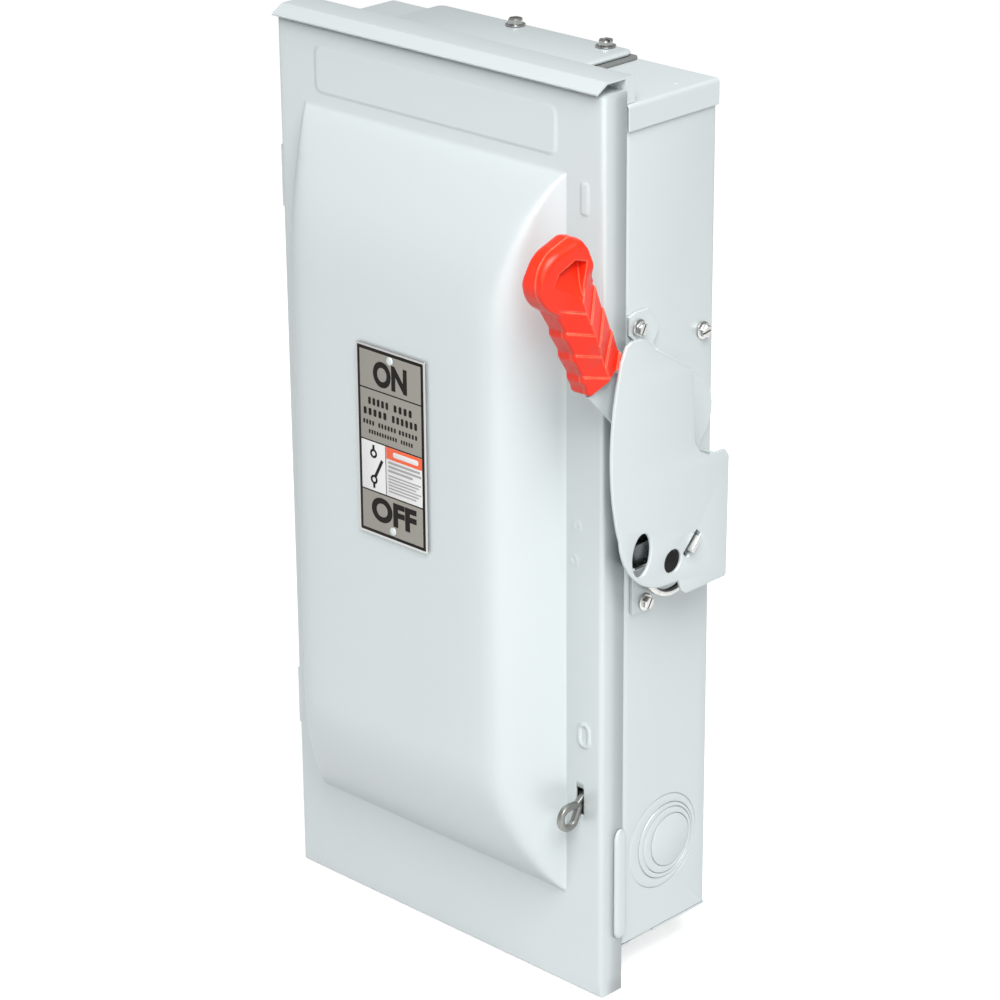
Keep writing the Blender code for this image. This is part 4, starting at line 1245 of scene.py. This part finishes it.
    def build(self) -> None:
        """Builds the plate, its fields, its words and its rivets."""
        low, high = self.low, self.high
        outline = rounded([(low[0], low[2]), (high[0], low[2]), (high[0], high[2]), (low[0], high[2])], 1.5)
        centre = (low[0] + high[0]) / 2.0
        holes = [circle((centre, z), self.rivet_hole, 24) for z in self.rivet_z]
        plate = cut_plate("nameplate_blank", Across.Y, [outline, *holes], self.front, high[1], 0.2)
        dress(plate, LABEL_RIM, "door", "nameplate")
        b = self.border
        outer_x, outer_z = (low[0] + b, high[0] - b), (low[2] + b, high[2] - b)
        self.sheet("nameplate_border", outer_x, outer_z, 1, LABEL_BLACK, 0.6)
        inner = b + self.frame_width
        x = (low[0] + inner, high[0] - inner)
        panel_top, panel_bottom = (self.level(share) for share in self.panel)
        half = self.line / 2.0
        fields = [
            ("on", (self.level(self.first_line) + half, high[2] - inner)),
            ("rating", (panel_top + half, self.level(self.first_line) - half)),
            ("off", (low[2] + inner, panel_bottom - half)),
        ]
        for name, z in fields:
            self.sheet(f"nameplate_{name}_field", x, z, 2, LABEL_FIELD)
        split = x[0] + self.panel_split * (x[1] - x[0])
        panel_z = (panel_bottom + half, panel_top - half)
        self.sheet("nameplate_symbol_panel", (x[0], split - 0.3), panel_z, 2, LABEL_WHITE)
        self.sheet("nameplate_note_panel", (split + 0.3, x[1]), panel_z, 2, LABEL_WHITE)
        head = self.header * (high[2] - low[2])
        head_z = (panel_top - half - head, panel_top - half)
        self.sheet("nameplate_note_header", (split + 0.6, x[1]), head_z, 3, LABEL_ORANGE)
        for word, shift, share, width, height in self.words:
            place = (centre + shift, self.level(share))
            self.lettering(f"nameplate_word_{word.lower()}", word, place, width, height)
        self.symbol((x[0] + (split - x[0]) / 2.0, (panel_top + panel_bottom) / 2.0))
        rating_words = [
            (0.290, 4.6, (0.13, 0.49), (0.55, 0.88)), (0.348, 4.6, (0.05, 0.46), (0.52, 0.96)),
            (0.405, 3.0, (0.04, 0.24), (0.29, 0.60), (0.63, 0.95)), (0.452, 2.6, (0.13, 0.61), (0.66, 0.87)),
        ]
        rating_rows = [(share, tall, *span) for share, tall, *spans in rating_words for span in spans]
        self.print_lines(x, rating_rows, "rating_line", LABEL_BLACK)
        note_rows = [(0.582 + 0.022 * i, 1.5, 0.05, end) for i, end in enumerate((0.95, 0.98, 0.74))]
        note_rows += [(0.652 + 0.0165 * i, 0.9, 0.05, 0.97 - 0.07 * (i % 3)) for i in range(6)]
        self.print_lines((split + 0.6, x[1]), note_rows, "note_line", LABEL_GREY)
        bar_z = (panel_top - half - 0.72 * head, panel_top - half - 0.28 * head)
        self.sheet("nameplate_header_bar", (split + 6.5, x[1] - 3.0), bar_z, 4, LABEL_WHITE, 1.2)
        for end in ("top", "bottom"):
            self.rivet(f"nameplate_rivet_{end}")


# ------------------------------------------------------------------ latch


@dataclass
class LatchRing:
    """The cast pull ring: a teardrop wire on a flat stem, with its hook inside."""

    eye: Pair = (-110.4, -176.2)
    pin: Pair = (-92.0, -165.0)
    eye_radius: float = 7.0
    eye_point: float = 3.6
    eye_waist: float = 0.42
    wire: float = 2.2
    pin_hole: float = 2.2
    hook: tuple[Pair, ...] = ((-93.0, -163.5), (-88.4, -166.0), (-85.2, -155.0), (-88.7, -154.0))

    def __post_init__(self) -> None:
        """Reads the ring's width, and finds the directions along and across its stem."""
        low, high = corners_of("latch_ring")
        self.left, self.right = low[0], high[0]
        line = np.array(self.pin) - np.array(self.eye)
        self.along = line / np.linalg.norm(line)
        self.side = np.array([-self.along[1], self.along[0]])

    def loop(self) -> Thing:
        """The ring: a squared round section carried along a teardrop.

        At the angle a the teardrop lies radius * cos(a) + point * cos(a)^3 along the stem and
        radius * sin(a) * (1 - waist * cos(a)^2) across it, the powers only where the cosine is
        above 0.

        Returns:
            The object.
        """
        x = (self.left + self.right) / 2.0
        angle = np.linspace(0.0, 2.0 * np.pi, 73)[:-1]
        ahead = np.maximum(np.cos(angle), 0.0)
        reach = self.eye_radius * np.cos(angle) + self.eye_point * ahead ** 3
        across = self.eye_radius * np.sin(angle) * (1.0 - self.eye_waist * ahead ** 2)
        path = np.array(self.eye) + reach[:, None] * self.along + across[:, None] * self.side
        step = np.roll(path, -1, axis=0) - np.roll(path, 1, axis=0)
        step /= np.linalg.norm(step, axis=1)[:, None]
        out = np.stack([step[:, 1], -step[:, 0]], axis=1)
        section = circle((0.0, 0.0), 1.0, 24)
        section = np.sign(section) * np.abs(section) ** 0.7
        plane = path[:, None, :] + out[:, None, :] * (section[None, :, 0, None] * self.wire)
        height = x + section[None, :, 1] * (self.right - self.left) / 2.0 * np.ones((len(path), 1))
        return loft("latch_loop", Across.X.place(plane[..., 0], plane[..., 1], height), loop=True)

    def build(self) -> None:
        """Builds the loop, the stem that the pin holds and the hook behind it."""
        eye, pin, along, side = np.array(self.eye), np.array(self.pin), self.along, self.side
        neck, root = eye + along * 9.0, pin + along * 1.0
        tip, thin, wide = pin + along * 4.2, side * 3.4, side * 3.9
        corners = [neck - thin, root - wide, tip, root + wide, neck + thin]
        outline = rounded([tuple(corner) for corner in corners], [1.0, 1.8, 2.2, 1.8, 1.0], 4)
        hole = circle(self.pin, self.pin_hole, 24)
        width = (self.left + 0.3, self.right - 0.3)
        stem = cut_plate("latch_stem", Across.X, [outline, hole], *width, 0.8)
        claw = cut_plate("latch_claw", Across.X, [rounded(list(self.hook), 0.8, 3)], *width, 0.5)
        dress(fused("latch_pull_ring", [self.loop(), stem, claw]), CAST_ZINC, "latch", "latch_ring")


# ------------------------------------------------------------------ grip


@dataclass
class Grip:
    """The two moulded halves of the grip.

    s runs along the grip from the handle's axis and t across it. Both lie in the handle's plane,
    which leans towards the door.
    """

    pivot: Pair = (-50.0, 47.5)
    lean: float = 25.8
    seam: float = 149.5
    seam_gap: float = 0.35
    ridge_t: float = -26.5
    ridge_x: float = 158.7
    left_slope: float = 0.30
    right_slope: float = 0.235
    foot: float = 94.6
    shaft_left: float = -43.3
    shaft_right: float = -10.7
    head: Pair = (173.6, -29.1)
    head_radius: float = 20.1
    pitch: float = 16.9
    left_crease: float = 131.2
    right_crease: float = 122.4
    side_crease: float = 144.5
    rib: float = 1.15
    rib_edge: float = 0.055
    left_chevron: float = 0.86
    right_chevron: float = 1.03
    recess_depth: float = 0.36
    recess_corners: tuple[Pair, ...] = (
        (157.9, -24.9), (175.7, -12.9), (181.9, -19.7), (181.9, -32.4), (177.0, -40.0),
    )
    head_slope: float = 0.115
    back: float = 138.95
    inset: float = 20.0

    def place(self, s: np.ndarray, t: np.ndarray, x: np.ndarray) -> np.ndarray:
        """Points of the leaning handle plane in space.

        Args:
            s: Distances along the grip.
            t: Distances across it.
            x: Heights above the side wall's plane.

        Returns:
            The points.
        """
        a = math.radians(self.lean)
        y = self.pivot[0] - s * math.sin(a) + t * math.cos(a)
        z = self.pivot[1] + s * math.cos(a) + t * math.sin(a)
        return Across.X.place(y, z, x)

    def tooth(self, crease: np.ndarray | float, s: np.ndarray, rise: float) -> np.ndarray:
        """Height of a rib, 0 to 1: from each crease down it climbs over the rise, then falls away."""
        share = np.mod((crease - s) / self.pitch, 1.0)
        return smooth(0.0, rise, share) * (1.0 - np.clip((share - rise) / (1.0 - rise), 0.0, 1.0))

    def outline(self, count: int) -> np.ndarray:
        """The grip's outline in (s, t): foot, shaft and head.

        Args:
            count: Number of its points, which are evenly spaced.

        Returns:
            The points.
        """
        foot = [(self.foot + 3.0, self.shaft_right), (self.foot + 1.0, -18.0), (self.foot, -30.0),
                (self.foot, self.shaft_left), (157.0, self.shaft_left)]
        head = [tuple(point) for point in arc(self.head, self.head_radius, -128.0, 6.0, 44)]
        corner = [(191.6, -12.6), (188.2, -8.5), (172.0, -8.6), (163.0, self.shaft_right)]
        radii = [2.5, 4.0, 4.0, 3.0, 3.0] + [0.2] * len(head) + [4.0, 3.0, 8.0, 5.0]
        points = rounded(foot + head + corner, radii, 5)
        closed = np.concatenate([points, points[:1]])
        length = np.concatenate([[0.0], np.cumsum(np.linalg.norm(np.diff(closed, axis=0), axis=1))])
        even = np.linspace(0.0, length[-1], count + 1)[:-1]
        return np.stack([np.interp(even, length, closed[:, k]) for k in (0, 1)], axis=1)

    def ribbed(self, outline: np.ndarray) -> np.ndarray:
        """The outline with the ribs of the grip's narrow sides pressed into it.

        Args:
            outline: The plain outline.

        Returns:
            The points.
        """
        s, t = outline[:, 0], outline[:, 1]
        shaft = smooth(self.foot + 2.0, self.foot + 8.0, s) * (1.0 - smooth(156.0, 161.0, s))
        left = (1.0 - self.tooth(self.side_crease, s, 0.3)) * 1.5 * shaft * (t < self.ridge_t)
        right = (1.0 - self.tooth(self.right_crease + 17.0, s, 0.12)) * 0.6 * shaft * (t > self.ridge_t)
        return np.stack([s, t + left - right], axis=1)

    def recess(self, s: np.ndarray, t: np.ndarray) -> np.ndarray:
        """Depth of the finger recess.

        Inside a five-sided outline the floor falls with the distance from its lower edge; the
        walls are cubic steps over the least distance to the other edges.

        Args:
            s: Distances along the grip.
            t: Distances across it.

        Returns:
            The depth at each place.
        """
        corners = np.array(self.recess_corners)
        ahead = np.roll(corners, -1, axis=0) - corners
        normal = np.stack([-ahead[:, 1], ahead[:, 0]], axis=1) / np.linalg.norm(ahead, axis=1)[:, None]
        inside = (corners.mean(axis=0) - corners[0]) @ normal[0]
        normal *= np.sign(inside)
        reach = (s[..., None] - corners[:, 0]) * normal[:, 0] + (t[..., None] - corners[:, 1]) * normal[:, 1]
        walls = smooth(0.0, 0.6, reach[..., :-1].min(axis=-1))
        return walls * self.recess_depth * np.maximum(reach[..., -1], 0.0)

    def roof(self, s: np.ndarray, t: np.ndarray, side: np.ndarray) -> np.ndarray:
        """Height of the outer face: two planes that meet in the ridge, with chevron ribs.

        Args:
            s: Distance along the grip.
            t: Distance across it.
            side: -1 on the left plane, 1 on the right, 0 on the ridge, where both are averaged.

        Returns:
            The face's x.
        """
        thin = 0.5 + 0.5 * smooth(108.0, 128.0, s)
        off = t - self.ridge_t
        leftward, rightward = np.maximum(-off, 0.0), np.maximum(off, 0.0)
        left = self.left_slope * leftward
        right = self.right_slope * rightward
        shaft = 1.0 - smooth(0.0, 1.5, s - 163.0 + 0.35 * off)
        left_crease = self.left_crease + self.left_chevron * leftward
        right_crease = self.right_crease + self.right_chevron * rightward
        left_rib = 1.0 - self.tooth(left_crease, s, self.rib_edge)
        right_rib = 1.0 - self.tooth(right_crease, s, self.rib_edge)
        weight = (side + 1.0) / 2.0
        rib = left_rib * (1.0 - weight) + right_rib * weight
        plain = (s > left_crease + self.pitch) & (side <= 0)
        plain |= (s > right_crease + 2 * self.pitch) & (side >= 0)
        rib = np.where(plain, 0.0, rib)
        ridged = self.ridge_x - 5.0 * (1.0 - thin) - (left + right) * thin - rib * self.rib * shaft
        head = smooth(157.0, 167.0, s - 0.25 * off)
        return ridged * (1.0 - head) + (self.ridge_x - self.head_slope * np.maximum(-8.5 - t, 0.0)) * head

    def half(self, outer: bool) -> Thing:
        """One half of the grip.

        The outline shrinks towards the spine, the line from the foot to the head's middle, and each
        ring of it lifts from the seam to the face: a steep drafted wall first, then the face.

        Args:
            outer: Whether it is the half away from the side wall.

        Returns:
            The object.
        """
        count, rings = 420, 64
        rim = self.ribbed(self.outline(count))
        spine_s = np.clip(rim[:, 0], self.foot + 13.0, self.head[0])
        spine = np.stack([spine_s, np.full(count, self.ridge_t)], axis=1)
        reach = np.linalg.norm(rim - spine, axis=1)
        side = np.sign(rim[:, 1] - self.ridge_t)
        inset = np.concatenate([[0.0, 0.0, 0.25], np.linspace(0.5, self.inset, rings)])
        share = 1.0 - np.minimum(inset[:, None] / self.inset, 1.0)
        s = spine[:, 0] + (rim[:, 0] - spine[:, 0]) * share
        t = spine[:, 1] + (rim[:, 1] - spine[:, 1]) * share
        side = np.where(share > 0.0, side, 0.0)
        depth = (1.0 - share) * reach
        in_head = smooth(181.0, 190.0, rim[:, 0])
        width = 1.2 + 3.4 * in_head
        lift = np.sqrt(np.clip(1.0 - (1.0 - np.clip(depth / width, 0.0, 1.0)) ** 2, 0.0, 1.0))
        low = self.seam + (self.seam_gap / 2.0 if outer else -self.seam_gap / 2.0)
        if outer:
            face = self.roof(s, t, side) - self.recess(s, t)
            wall = 0.55 - 0.5 * in_head
            x = low + (face - low) * (wall + (1.0 - wall) * lift)
        else:
            x = low - (self.seam - self.back) * (0.75 - 0.35 * in_head + (0.25 + 0.35 * in_head) * lift)
        x[0] = low
        t[0] = t[0] - self.seam_gap * side[0] * (np.abs(rim[:, 1] - self.ridge_t) > 5.0)
        points = self.place(s, t, x)
        name = "grip_outer_shell" if outer else "grip_inner_shell"
        faces = grid_faces(len(inset), count, closed=True).tolist() + [list(range(count))]
        piece = piece_from(name, points, faces)
        merged(piece.data, 2e-6)
        face_outward(piece.data)
        return piece

    def build(self) -> None:
        """Builds both halves and the two screws in the inner one."""
        dress(self.half(True), RED, "handle", "grip_outer_half", crease=28.0)
        dress(self.half(False), RED, "handle", "grip_inner_half", crease=28.0)
        for level in ("upper", "lower"):
            node = f"grip_screw_{level}"
            low, high = corners_of(node)
            centre = ((low[1] + high[1]) / 2.0, (low[2] + high[2]) / 2.0)
            radius = (high[1] - low[1]) / 2.0
            profile = [(high[0], radius), (low[0] + 0.4, radius), (low[0], radius - 0.5), (low[0], 1.5),
                       (low[0] + 0.7, 1.2)]
            dress(turned(f"{node}_head", Across.X, centre, profile, 40), ZINC, "handle", node)


# ------------------------------------------------------------------ guard and mechanism


@dataclass
class Mechanism:
    """The guard, the plates behind it, the lever and their screws."""

    guard_edge: float = 0.9
    wall: float = 2.3
    slot_ends: tuple[Pair, Pair] = ((-40.9, 3.1), (-49.5, -5.7))
    slot_half: float = 2.6
    oval: tuple[Pair, Pair] = ((-90.5, 5.0), (13.6, 8.2))
    oval_tilt: float = 84.0
    lock_hole: tuple[Pair, float] = ((-62.5, -7.5), 7.5)
    lip_half: float = 2.2

    def guard_outline(self) -> np.ndarray:
        """The guard's face: rear edge with its notch, top tip, long front arc and lower lobe.

        Returns:
            The outline as (y, z).
        """
        corners = [
            (-56.9, -22.0), (-54.3, -29.3), (-50.5, -32.6), (-12.8, -32.6), (-12.0, 46.4), (-15.5, 51.4),
            (-29.8, 51.6), (-38.1, 56.3), (-43.9, 64.0), (-45.6, 104.0), (-47.5, 111.3), (-77.8, 130.8),
        ]
        radii = [1.0, 2.0, 2.0, 2.5, 2.5, 2.0, 3.0, 4.0, 6.0, 4.0, 4.0, 2.0]
        tip = [(-87.4, 139.7), (-91.5, 141.4), (-100.6, 141.9), (-105.2, 139.8), (-109.4, 131.0)]
        front = arc((84.4, 72.8), 202.0, 165.7, 193.7, 44)
        lobe = arc((-66.0, 22.3), 44.0, 184.0, 262.0, 28)
        chain = [tuple(lobe[-1]), *corners, *tip, tuple(front[0])]
        bends = rounded(chain, [0.1, *radii, 3.0, 2.5, 2.5, 2.5, 3.0, 0.1], 5)[6:-6]
        return np.concatenate([bends, front, lobe])

    def holes(self) -> list[np.ndarray]:
        """The slanted slot, the oval and the round padlock hole.

        Returns:
            Their outlines.
        """
        first, second = (np.array(end) for end in self.slot_ends)
        along = (second - first) / np.linalg.norm(second - first)
        side = np.array([-along[1], along[0]]) * self.slot_half
        first, second = first - along * 2.4, second + along * 2.4
        corners = (first - side, second - side, second + side, first + side)
        slot = rounded([tuple(corner) for corner in corners], 0.7, 3)
        tilt = math.radians(self.oval_tilt)
        centre, reach = self.oval
        turn = np.array([[math.cos(tilt), math.sin(tilt)], [-math.sin(tilt), math.cos(tilt)]])
        oval = np.array(centre) + (circle((0.0, 0.0), 1.0, 56) * reach) @ turn
        return [slot, oval, circle(*self.lock_hole, 48)]

    def return_wall(self, name: str, path: tuple[Pair, Pair], low: float, high: float) -> Thing:
        """A wall that stands on the base plate along a straight path and meets the guard's face.

        Args:
            name: The wall's name.
            path: Its two end points at the outer surface, as (y, z).
            low: Foot of the wall.
            high: Top of the wall.

        Returns:
            The object: the thickness lies to the left of the path.
        """
        first, second = (np.array(end) for end in path)
        along = (second - first) / np.linalg.norm(second - first)
        side = np.array([-along[1], along[0]]) * self.wall
        outline = rounded([tuple(first), tuple(second), tuple(second + side), tuple(first + side)], 0.5, 3)
        return cut_plate(name, Across.X, [outline], low, high, 0.3)

    def tab(self) -> None:
        """The defeater tab: a bright tongue in the slot on a foot behind the guard, whose zinc is darkened as
        painted shade.
        """
        low, high = corners_of("interlock_tab")
        middle = (low[1:] + high[1:]) / 2.0
        along = np.array([-0.70, -0.714])
        side = np.array([0.714, -0.70])
        for name, reach, half, x, finish, nodes in (
            ("tab_tongue", 5.6, 1.5, (146.4, high[0]), ZINC, ("interlock_tab",)),
            # The foot is zinc darkened as painted shade.
            ("tab_foot", 7.6, 5.0, (low[0], 146.5), ZINC_IN_PAINTED_SHADE, ()),
        ):
            ends = ((-1, -1), (1, -1), (1, 1), (-1, 1))
            outline = rounded([tuple(middle + along * a * reach + side * b * half) for a, b in ends], 0.5, 3)
            dress(cut_plate(name, Across.X, [outline], *x, 0.35), finish, "interlock", *nodes)

    def lip(self, x: float) -> Thing:
        """The lock plate's rolled lip: a squared section carried along a cubic curve.

        The curve is the sum of its four control points with the weights (1 - u)^3, 3u(1 - u)^2,
        3u^2(1 - u) and u^3.

        Args:
            x: Height of the curve.

        Returns:
            The object.
        """
        u = np.linspace(0.0, 1.0, 40)[:, None]
        weights = np.hstack([(1.0 - u) ** 3, 3.0 * u * (1.0 - u) ** 2, 3.0 * u ** 2 * (1.0 - u), u ** 3])
        path = weights @ np.array([(-70.0, -20.0), (-62.0, -36.5), (-44.0, -43.8), (-26.0, -28.5)])
        step = np.gradient(path, axis=0)
        step /= np.linalg.norm(step, axis=1)[:, None]
        out = np.stack([step[:, 1], -step[:, 0]], axis=1)
        section = circle((0.0, 0.0), 1.0, 20)
        section = np.sign(section) * np.abs(section) ** 0.75
        plane = path[:, None, :] + out[:, None, :] * section[None, :, 0, None] * self.lip_half
        height = x + self.lip_half * section[None, :, 1] * np.ones_like(u)
        return loft("lock_lip", Across.X.place(plane[..., 0], plane[..., 1], height))

    def lock_plate(self) -> None:
        """The lock plate's rolled lip and bar; the bar, a web behind the lip and a post are zinc darkened as
        painted shade, and a black plate seen through the holes is painted shade of the dark inside behind
        them.
        """
        low, high = corners_of("padlock_plate")
        plate = corners_of("mechanism_base_plate")[1][0]
        bar = [(-84.0, -9.4), (-61.5, -9.4), (-61.5, 3.2), (-84.0, 3.2)]
        shelf = [(-84.0, -10.6), (-61.5, -10.6), (-61.5, -8.8), (-84.0, -8.8)]
        dress(self.lip(high[0]), ZINC, "enclosure", "padlock_plate")
        # A dark sheet behind the lip that stands in for the shaded gap: painted shade.
        shade_web = [(-70.0, -26.0), (-56.0, -31.5), (-26.0, -31.5), (-26.0, -22.0), (-70.0, -22.0)]
        pieces = [
            cut_plate("lock_bar", Across.X, [rounded(bar, 1.0, 3)], low[0], high[0], 0.4),
            cut_plate("lock_shade_web", Across.X, [rounded(shade_web, 1.0, 3)], low[0] - 2.6, low[0] - 1.0, 0.3),
            turned("lock_post", Across.X, (-64.0, 1.0), [(plate + 0.3, 2.6), (low[0] + 0.3, 2.6)], 24),
        ]
        # Bar, web and post in zinc darkened as painted shade.
        dress(fused("lock_plate", pieces), ZINC_IN_PAINTED_SHADE, "enclosure")
        ledge = cut_plate("lock_shelf", Across.X, [rounded(shelf, 0.5, 3)], low[0], high[0] + 4.2, 0.3)
        dress(ledge, ZINC, "enclosure")
        # A black plate behind the guard's holes: painted shade of the dark inside seen through them.
        corners = [
            (-77.0, 24.0), (-77.0, -13.0), (-57.0, -13.0), (-52.0, -32.0), (-28.0, -32.0), (-28.0, 24.0),
        ]
        seat = cut_plate("painted_shade_plate", Across.X, [rounded(corners, 2.0, 4)], plate + 0.05, plate + 1.4, 0.3)
        dress(seat, BLACK, "enclosure")

    def build(self) -> None:
        """Builds the guard from its face and two return walls, and dresses what stands behind it."""
        low, high = corners_of("handle_guard")
        loops = [self.guard_outline(), *self.holes()]
        face = cut_plate("guard_face", Across.X, loops, high[0] - 2.5, high[0], self.guard_edge)
        rear = self.return_wall("guard_rear", ((-12.2, -31.6), (-12.2, 45.4)), low[0], high[0] - 0.8)
        ledge = self.return_wall("guard_ledge", ((-47.0, 112.2), (-77.6, 131.9)), low[0], high[0] - 0.8)
        dress(fused("handle_guard_shell", [face, rear, ledge]), ENAMEL, "enclosure", "handle_guard")
        dress(refined("mechanism_base_plate", 0.3), ENAMEL, "enclosure", "mechanism_base_plate")
        self.lock_plate()
        self.tab()
        dress(refined("handle_lever", 0.5), ENAMEL, "handle", "handle_lever")
        dress(refined("handle_shaft", 0.3), ZINC, "handle", "handle_shaft")
        for level, turn in (("upper", 62.0), ("rear", 10.0), ("lower", 58.0)):
            HexScrew(f"base_{level}_screw_head", Across.X, f"base_screw_{level}", turn).build()


# ------------------------------------------------------------------ switch


@dataclass
class Switch:
    """The knife switch, its drive and the grounding bar, dressed with rounded edges."""

    fixed: dict[str, tuple[Finish, float]] = field(
        default_factory=lambda: {
            "mechanism_frame": (ZINC, 0.3), "toggle_spring": (ZINC, 0.0), "switch_base": (BLACK, 0.5),
            "line_shield": (FIBRE, 0.3), "ground_bar": (ALUMINIUM, 0.3),
        }
    )
    moving: dict[str, tuple[str, Finish, float]] = field(
        default_factory=lambda: {
            "drive_link": ("link", ZINC, 0.3), "rotor_shaft": ("rotor", ZINC, 0.3),
            "rotor_crossbar": ("rotor", BLACK, 0.4),
        }
    )

    def build(self) -> None:
        """Builds and dresses every piece inside the box."""
        for node, (finish, edge) in self.fixed.items():
            dress(refined(node, edge), finish, "enclosure", node)
        for node, (body, finish, edge) in self.moving.items():
            dress(refined(node, edge), finish, body, node)
        for pole in range(1, 4):
            dress(refined(f"blade_{pole}", 0.3), COPPER, "rotor", f"blade_{pole}")
            for side in ("line", "load"):
                node = f"{side}_terminal_{pole}"
                dress(refined(node, 0.25), ALUMINIUM, "enclosure", node)
                node = f"{side}_screw_{pole}"
                dress(refined(node, 0.4), ZINC, "enclosure", node)


# ------------------------------------------------------------------ studio


@dataclass
class Studio:
    """Camera, floor, world and soft lights, in metres, degrees and watts.

    A light has its name, azimuth, elevation, distance and power.
    """

    azimuth: float = -45.99
    elevation: float = 22.45
    roll: float = -0.46
    distance: float = 2.2318
    aim: tuple[float, float, float] = (-0.01683, -0.02909, -0.02721)
    lens: float = 125.6
    world: float = 0.336
    floor_size: float = 16.0
    floor_drop: float = 0.0006
    floor_glow: float = 0.50
    light_size: float = 1.6
    lights: tuple[tuple[str, float, float, float, float], ...] = (
        ("key", -45.0, 22.0, 2.6, 12.0),
        ("high_key", -40.0, 52.0, 2.6, 92.0),
        ("left_fill", -130.0, 15.0, 2.8, 4.3),
    )

    def direction(self, azimuth: float, elevation: float) -> Vector:
        """Unit vector towards an azimuth and elevation in degrees."""
        a, e = math.radians(azimuth), math.radians(elevation)
        return Vector((math.cos(a) * math.cos(e), math.sin(a) * math.cos(e), math.sin(e)))

    def camera(self) -> None:
        """The camera: it looks at the aim from its azimuth and elevation."""
        data = bpy.data.cameras.new("camera")
        data.lens = self.lens
        data.sensor_width = 36.0
        camera = bpy.data.objects.new("camera", data)
        bpy.context.scene.collection.objects.link(camera)
        back = self.direction(self.azimuth, self.elevation)
        turn = back.to_track_quat("Z", "Y").to_matrix().to_4x4()
        place = Matrix.Translation(Vector(self.aim) + back * self.distance)
        camera.matrix_world = place @ turn @ Matrix.Rotation(math.radians(self.roll), 4, "Z")
        bpy.context.scene.camera = camera

    def light(self, name: str, azimuth: float, elevation: float, distance: float, power: float) -> None:
        """A square soft light that faces the box.

        Args:
            name: Its name.
            azimuth: Its direction from the box.
            elevation: Its height above the horizon.
            distance: Its distance from the box.
            power: Its power.
        """
        data = bpy.data.lights.new(name, "AREA")
        data.size = self.light_size
        data.energy = power
        lamp = bpy.data.objects.new(name, data)
        bpy.context.scene.collection.objects.link(lamp)
        back = self.direction(azimuth, elevation)
        turn = back.to_track_quat("Z", "Y").to_matrix().to_4x4()
        lamp.matrix_world = Matrix.Translation(back * distance) @ turn

    def floor(self) -> None:
        """The pale floor just under the door's bottom edge."""
        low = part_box("door_shell")[0]
        side = np.linspace(-0.5, 0.5, 3) * self.floor_size / MM
        x, y = np.meshgrid(side, side, indexing="ij")
        points = Across.Z.place(x, y, (low[2] - self.floor_drop) / MM)
        ground = piece_from("floor", points, grid_faces(3, 3)[:, ::-1].tolist(), closed=False)
        paper = bpy.data.materials.new("studio_paper")
        paper.use_nodes = True
        shader = paper.node_tree.nodes["Principled BSDF"]
        shader.inputs["Base Color"].default_value = (0.90, 0.90, 0.90, 1.0)
        shader.inputs["Roughness"].default_value = 0.9
        shader.inputs["Specular IOR Level"].default_value = 0.1
        shader.inputs["Emission Color"].default_value = (1.0, 1.0, 1.0, 1.0)
        shader.inputs["Emission Strength"].default_value = self.floor_glow
        ground.visible_diffuse = False
        ground.data.materials.append(paper)

    def build(self) -> None:
        """Sets up the whole studio."""
        self.camera()
        self.floor()
        world = bpy.data.worlds.new("studio")
        world.use_nodes = True
        bpy.context.scene.world = world
        sky = world.node_tree.nodes["Background"]
        sky.inputs["Color"].default_value = (1.0, 1.0, 1.0, 1.0)
        sky.inputs["Strength"].default_value = self.world
        for light in self.lights:
            self.light(*light)
        bpy.context.scene.view_settings.view_transform = "Standard"
        LOG.info("studio: camera %s, world %.2f", self.aim, self.world)


def main() -> None:
    """Builds the pieces in order."""
    logging.basicConfig(level=logging.INFO, format="%(name)s %(message)s")
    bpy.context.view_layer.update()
    Studio().build()
    for part in (Enclosure(), Door(), Nameplate(), LatchRing(), Grip(), Mechanism(), Switch()):
        part.build()
        LOG.info("%s is built", type(part).__name__)


if __name__ == "__main__":
    main()
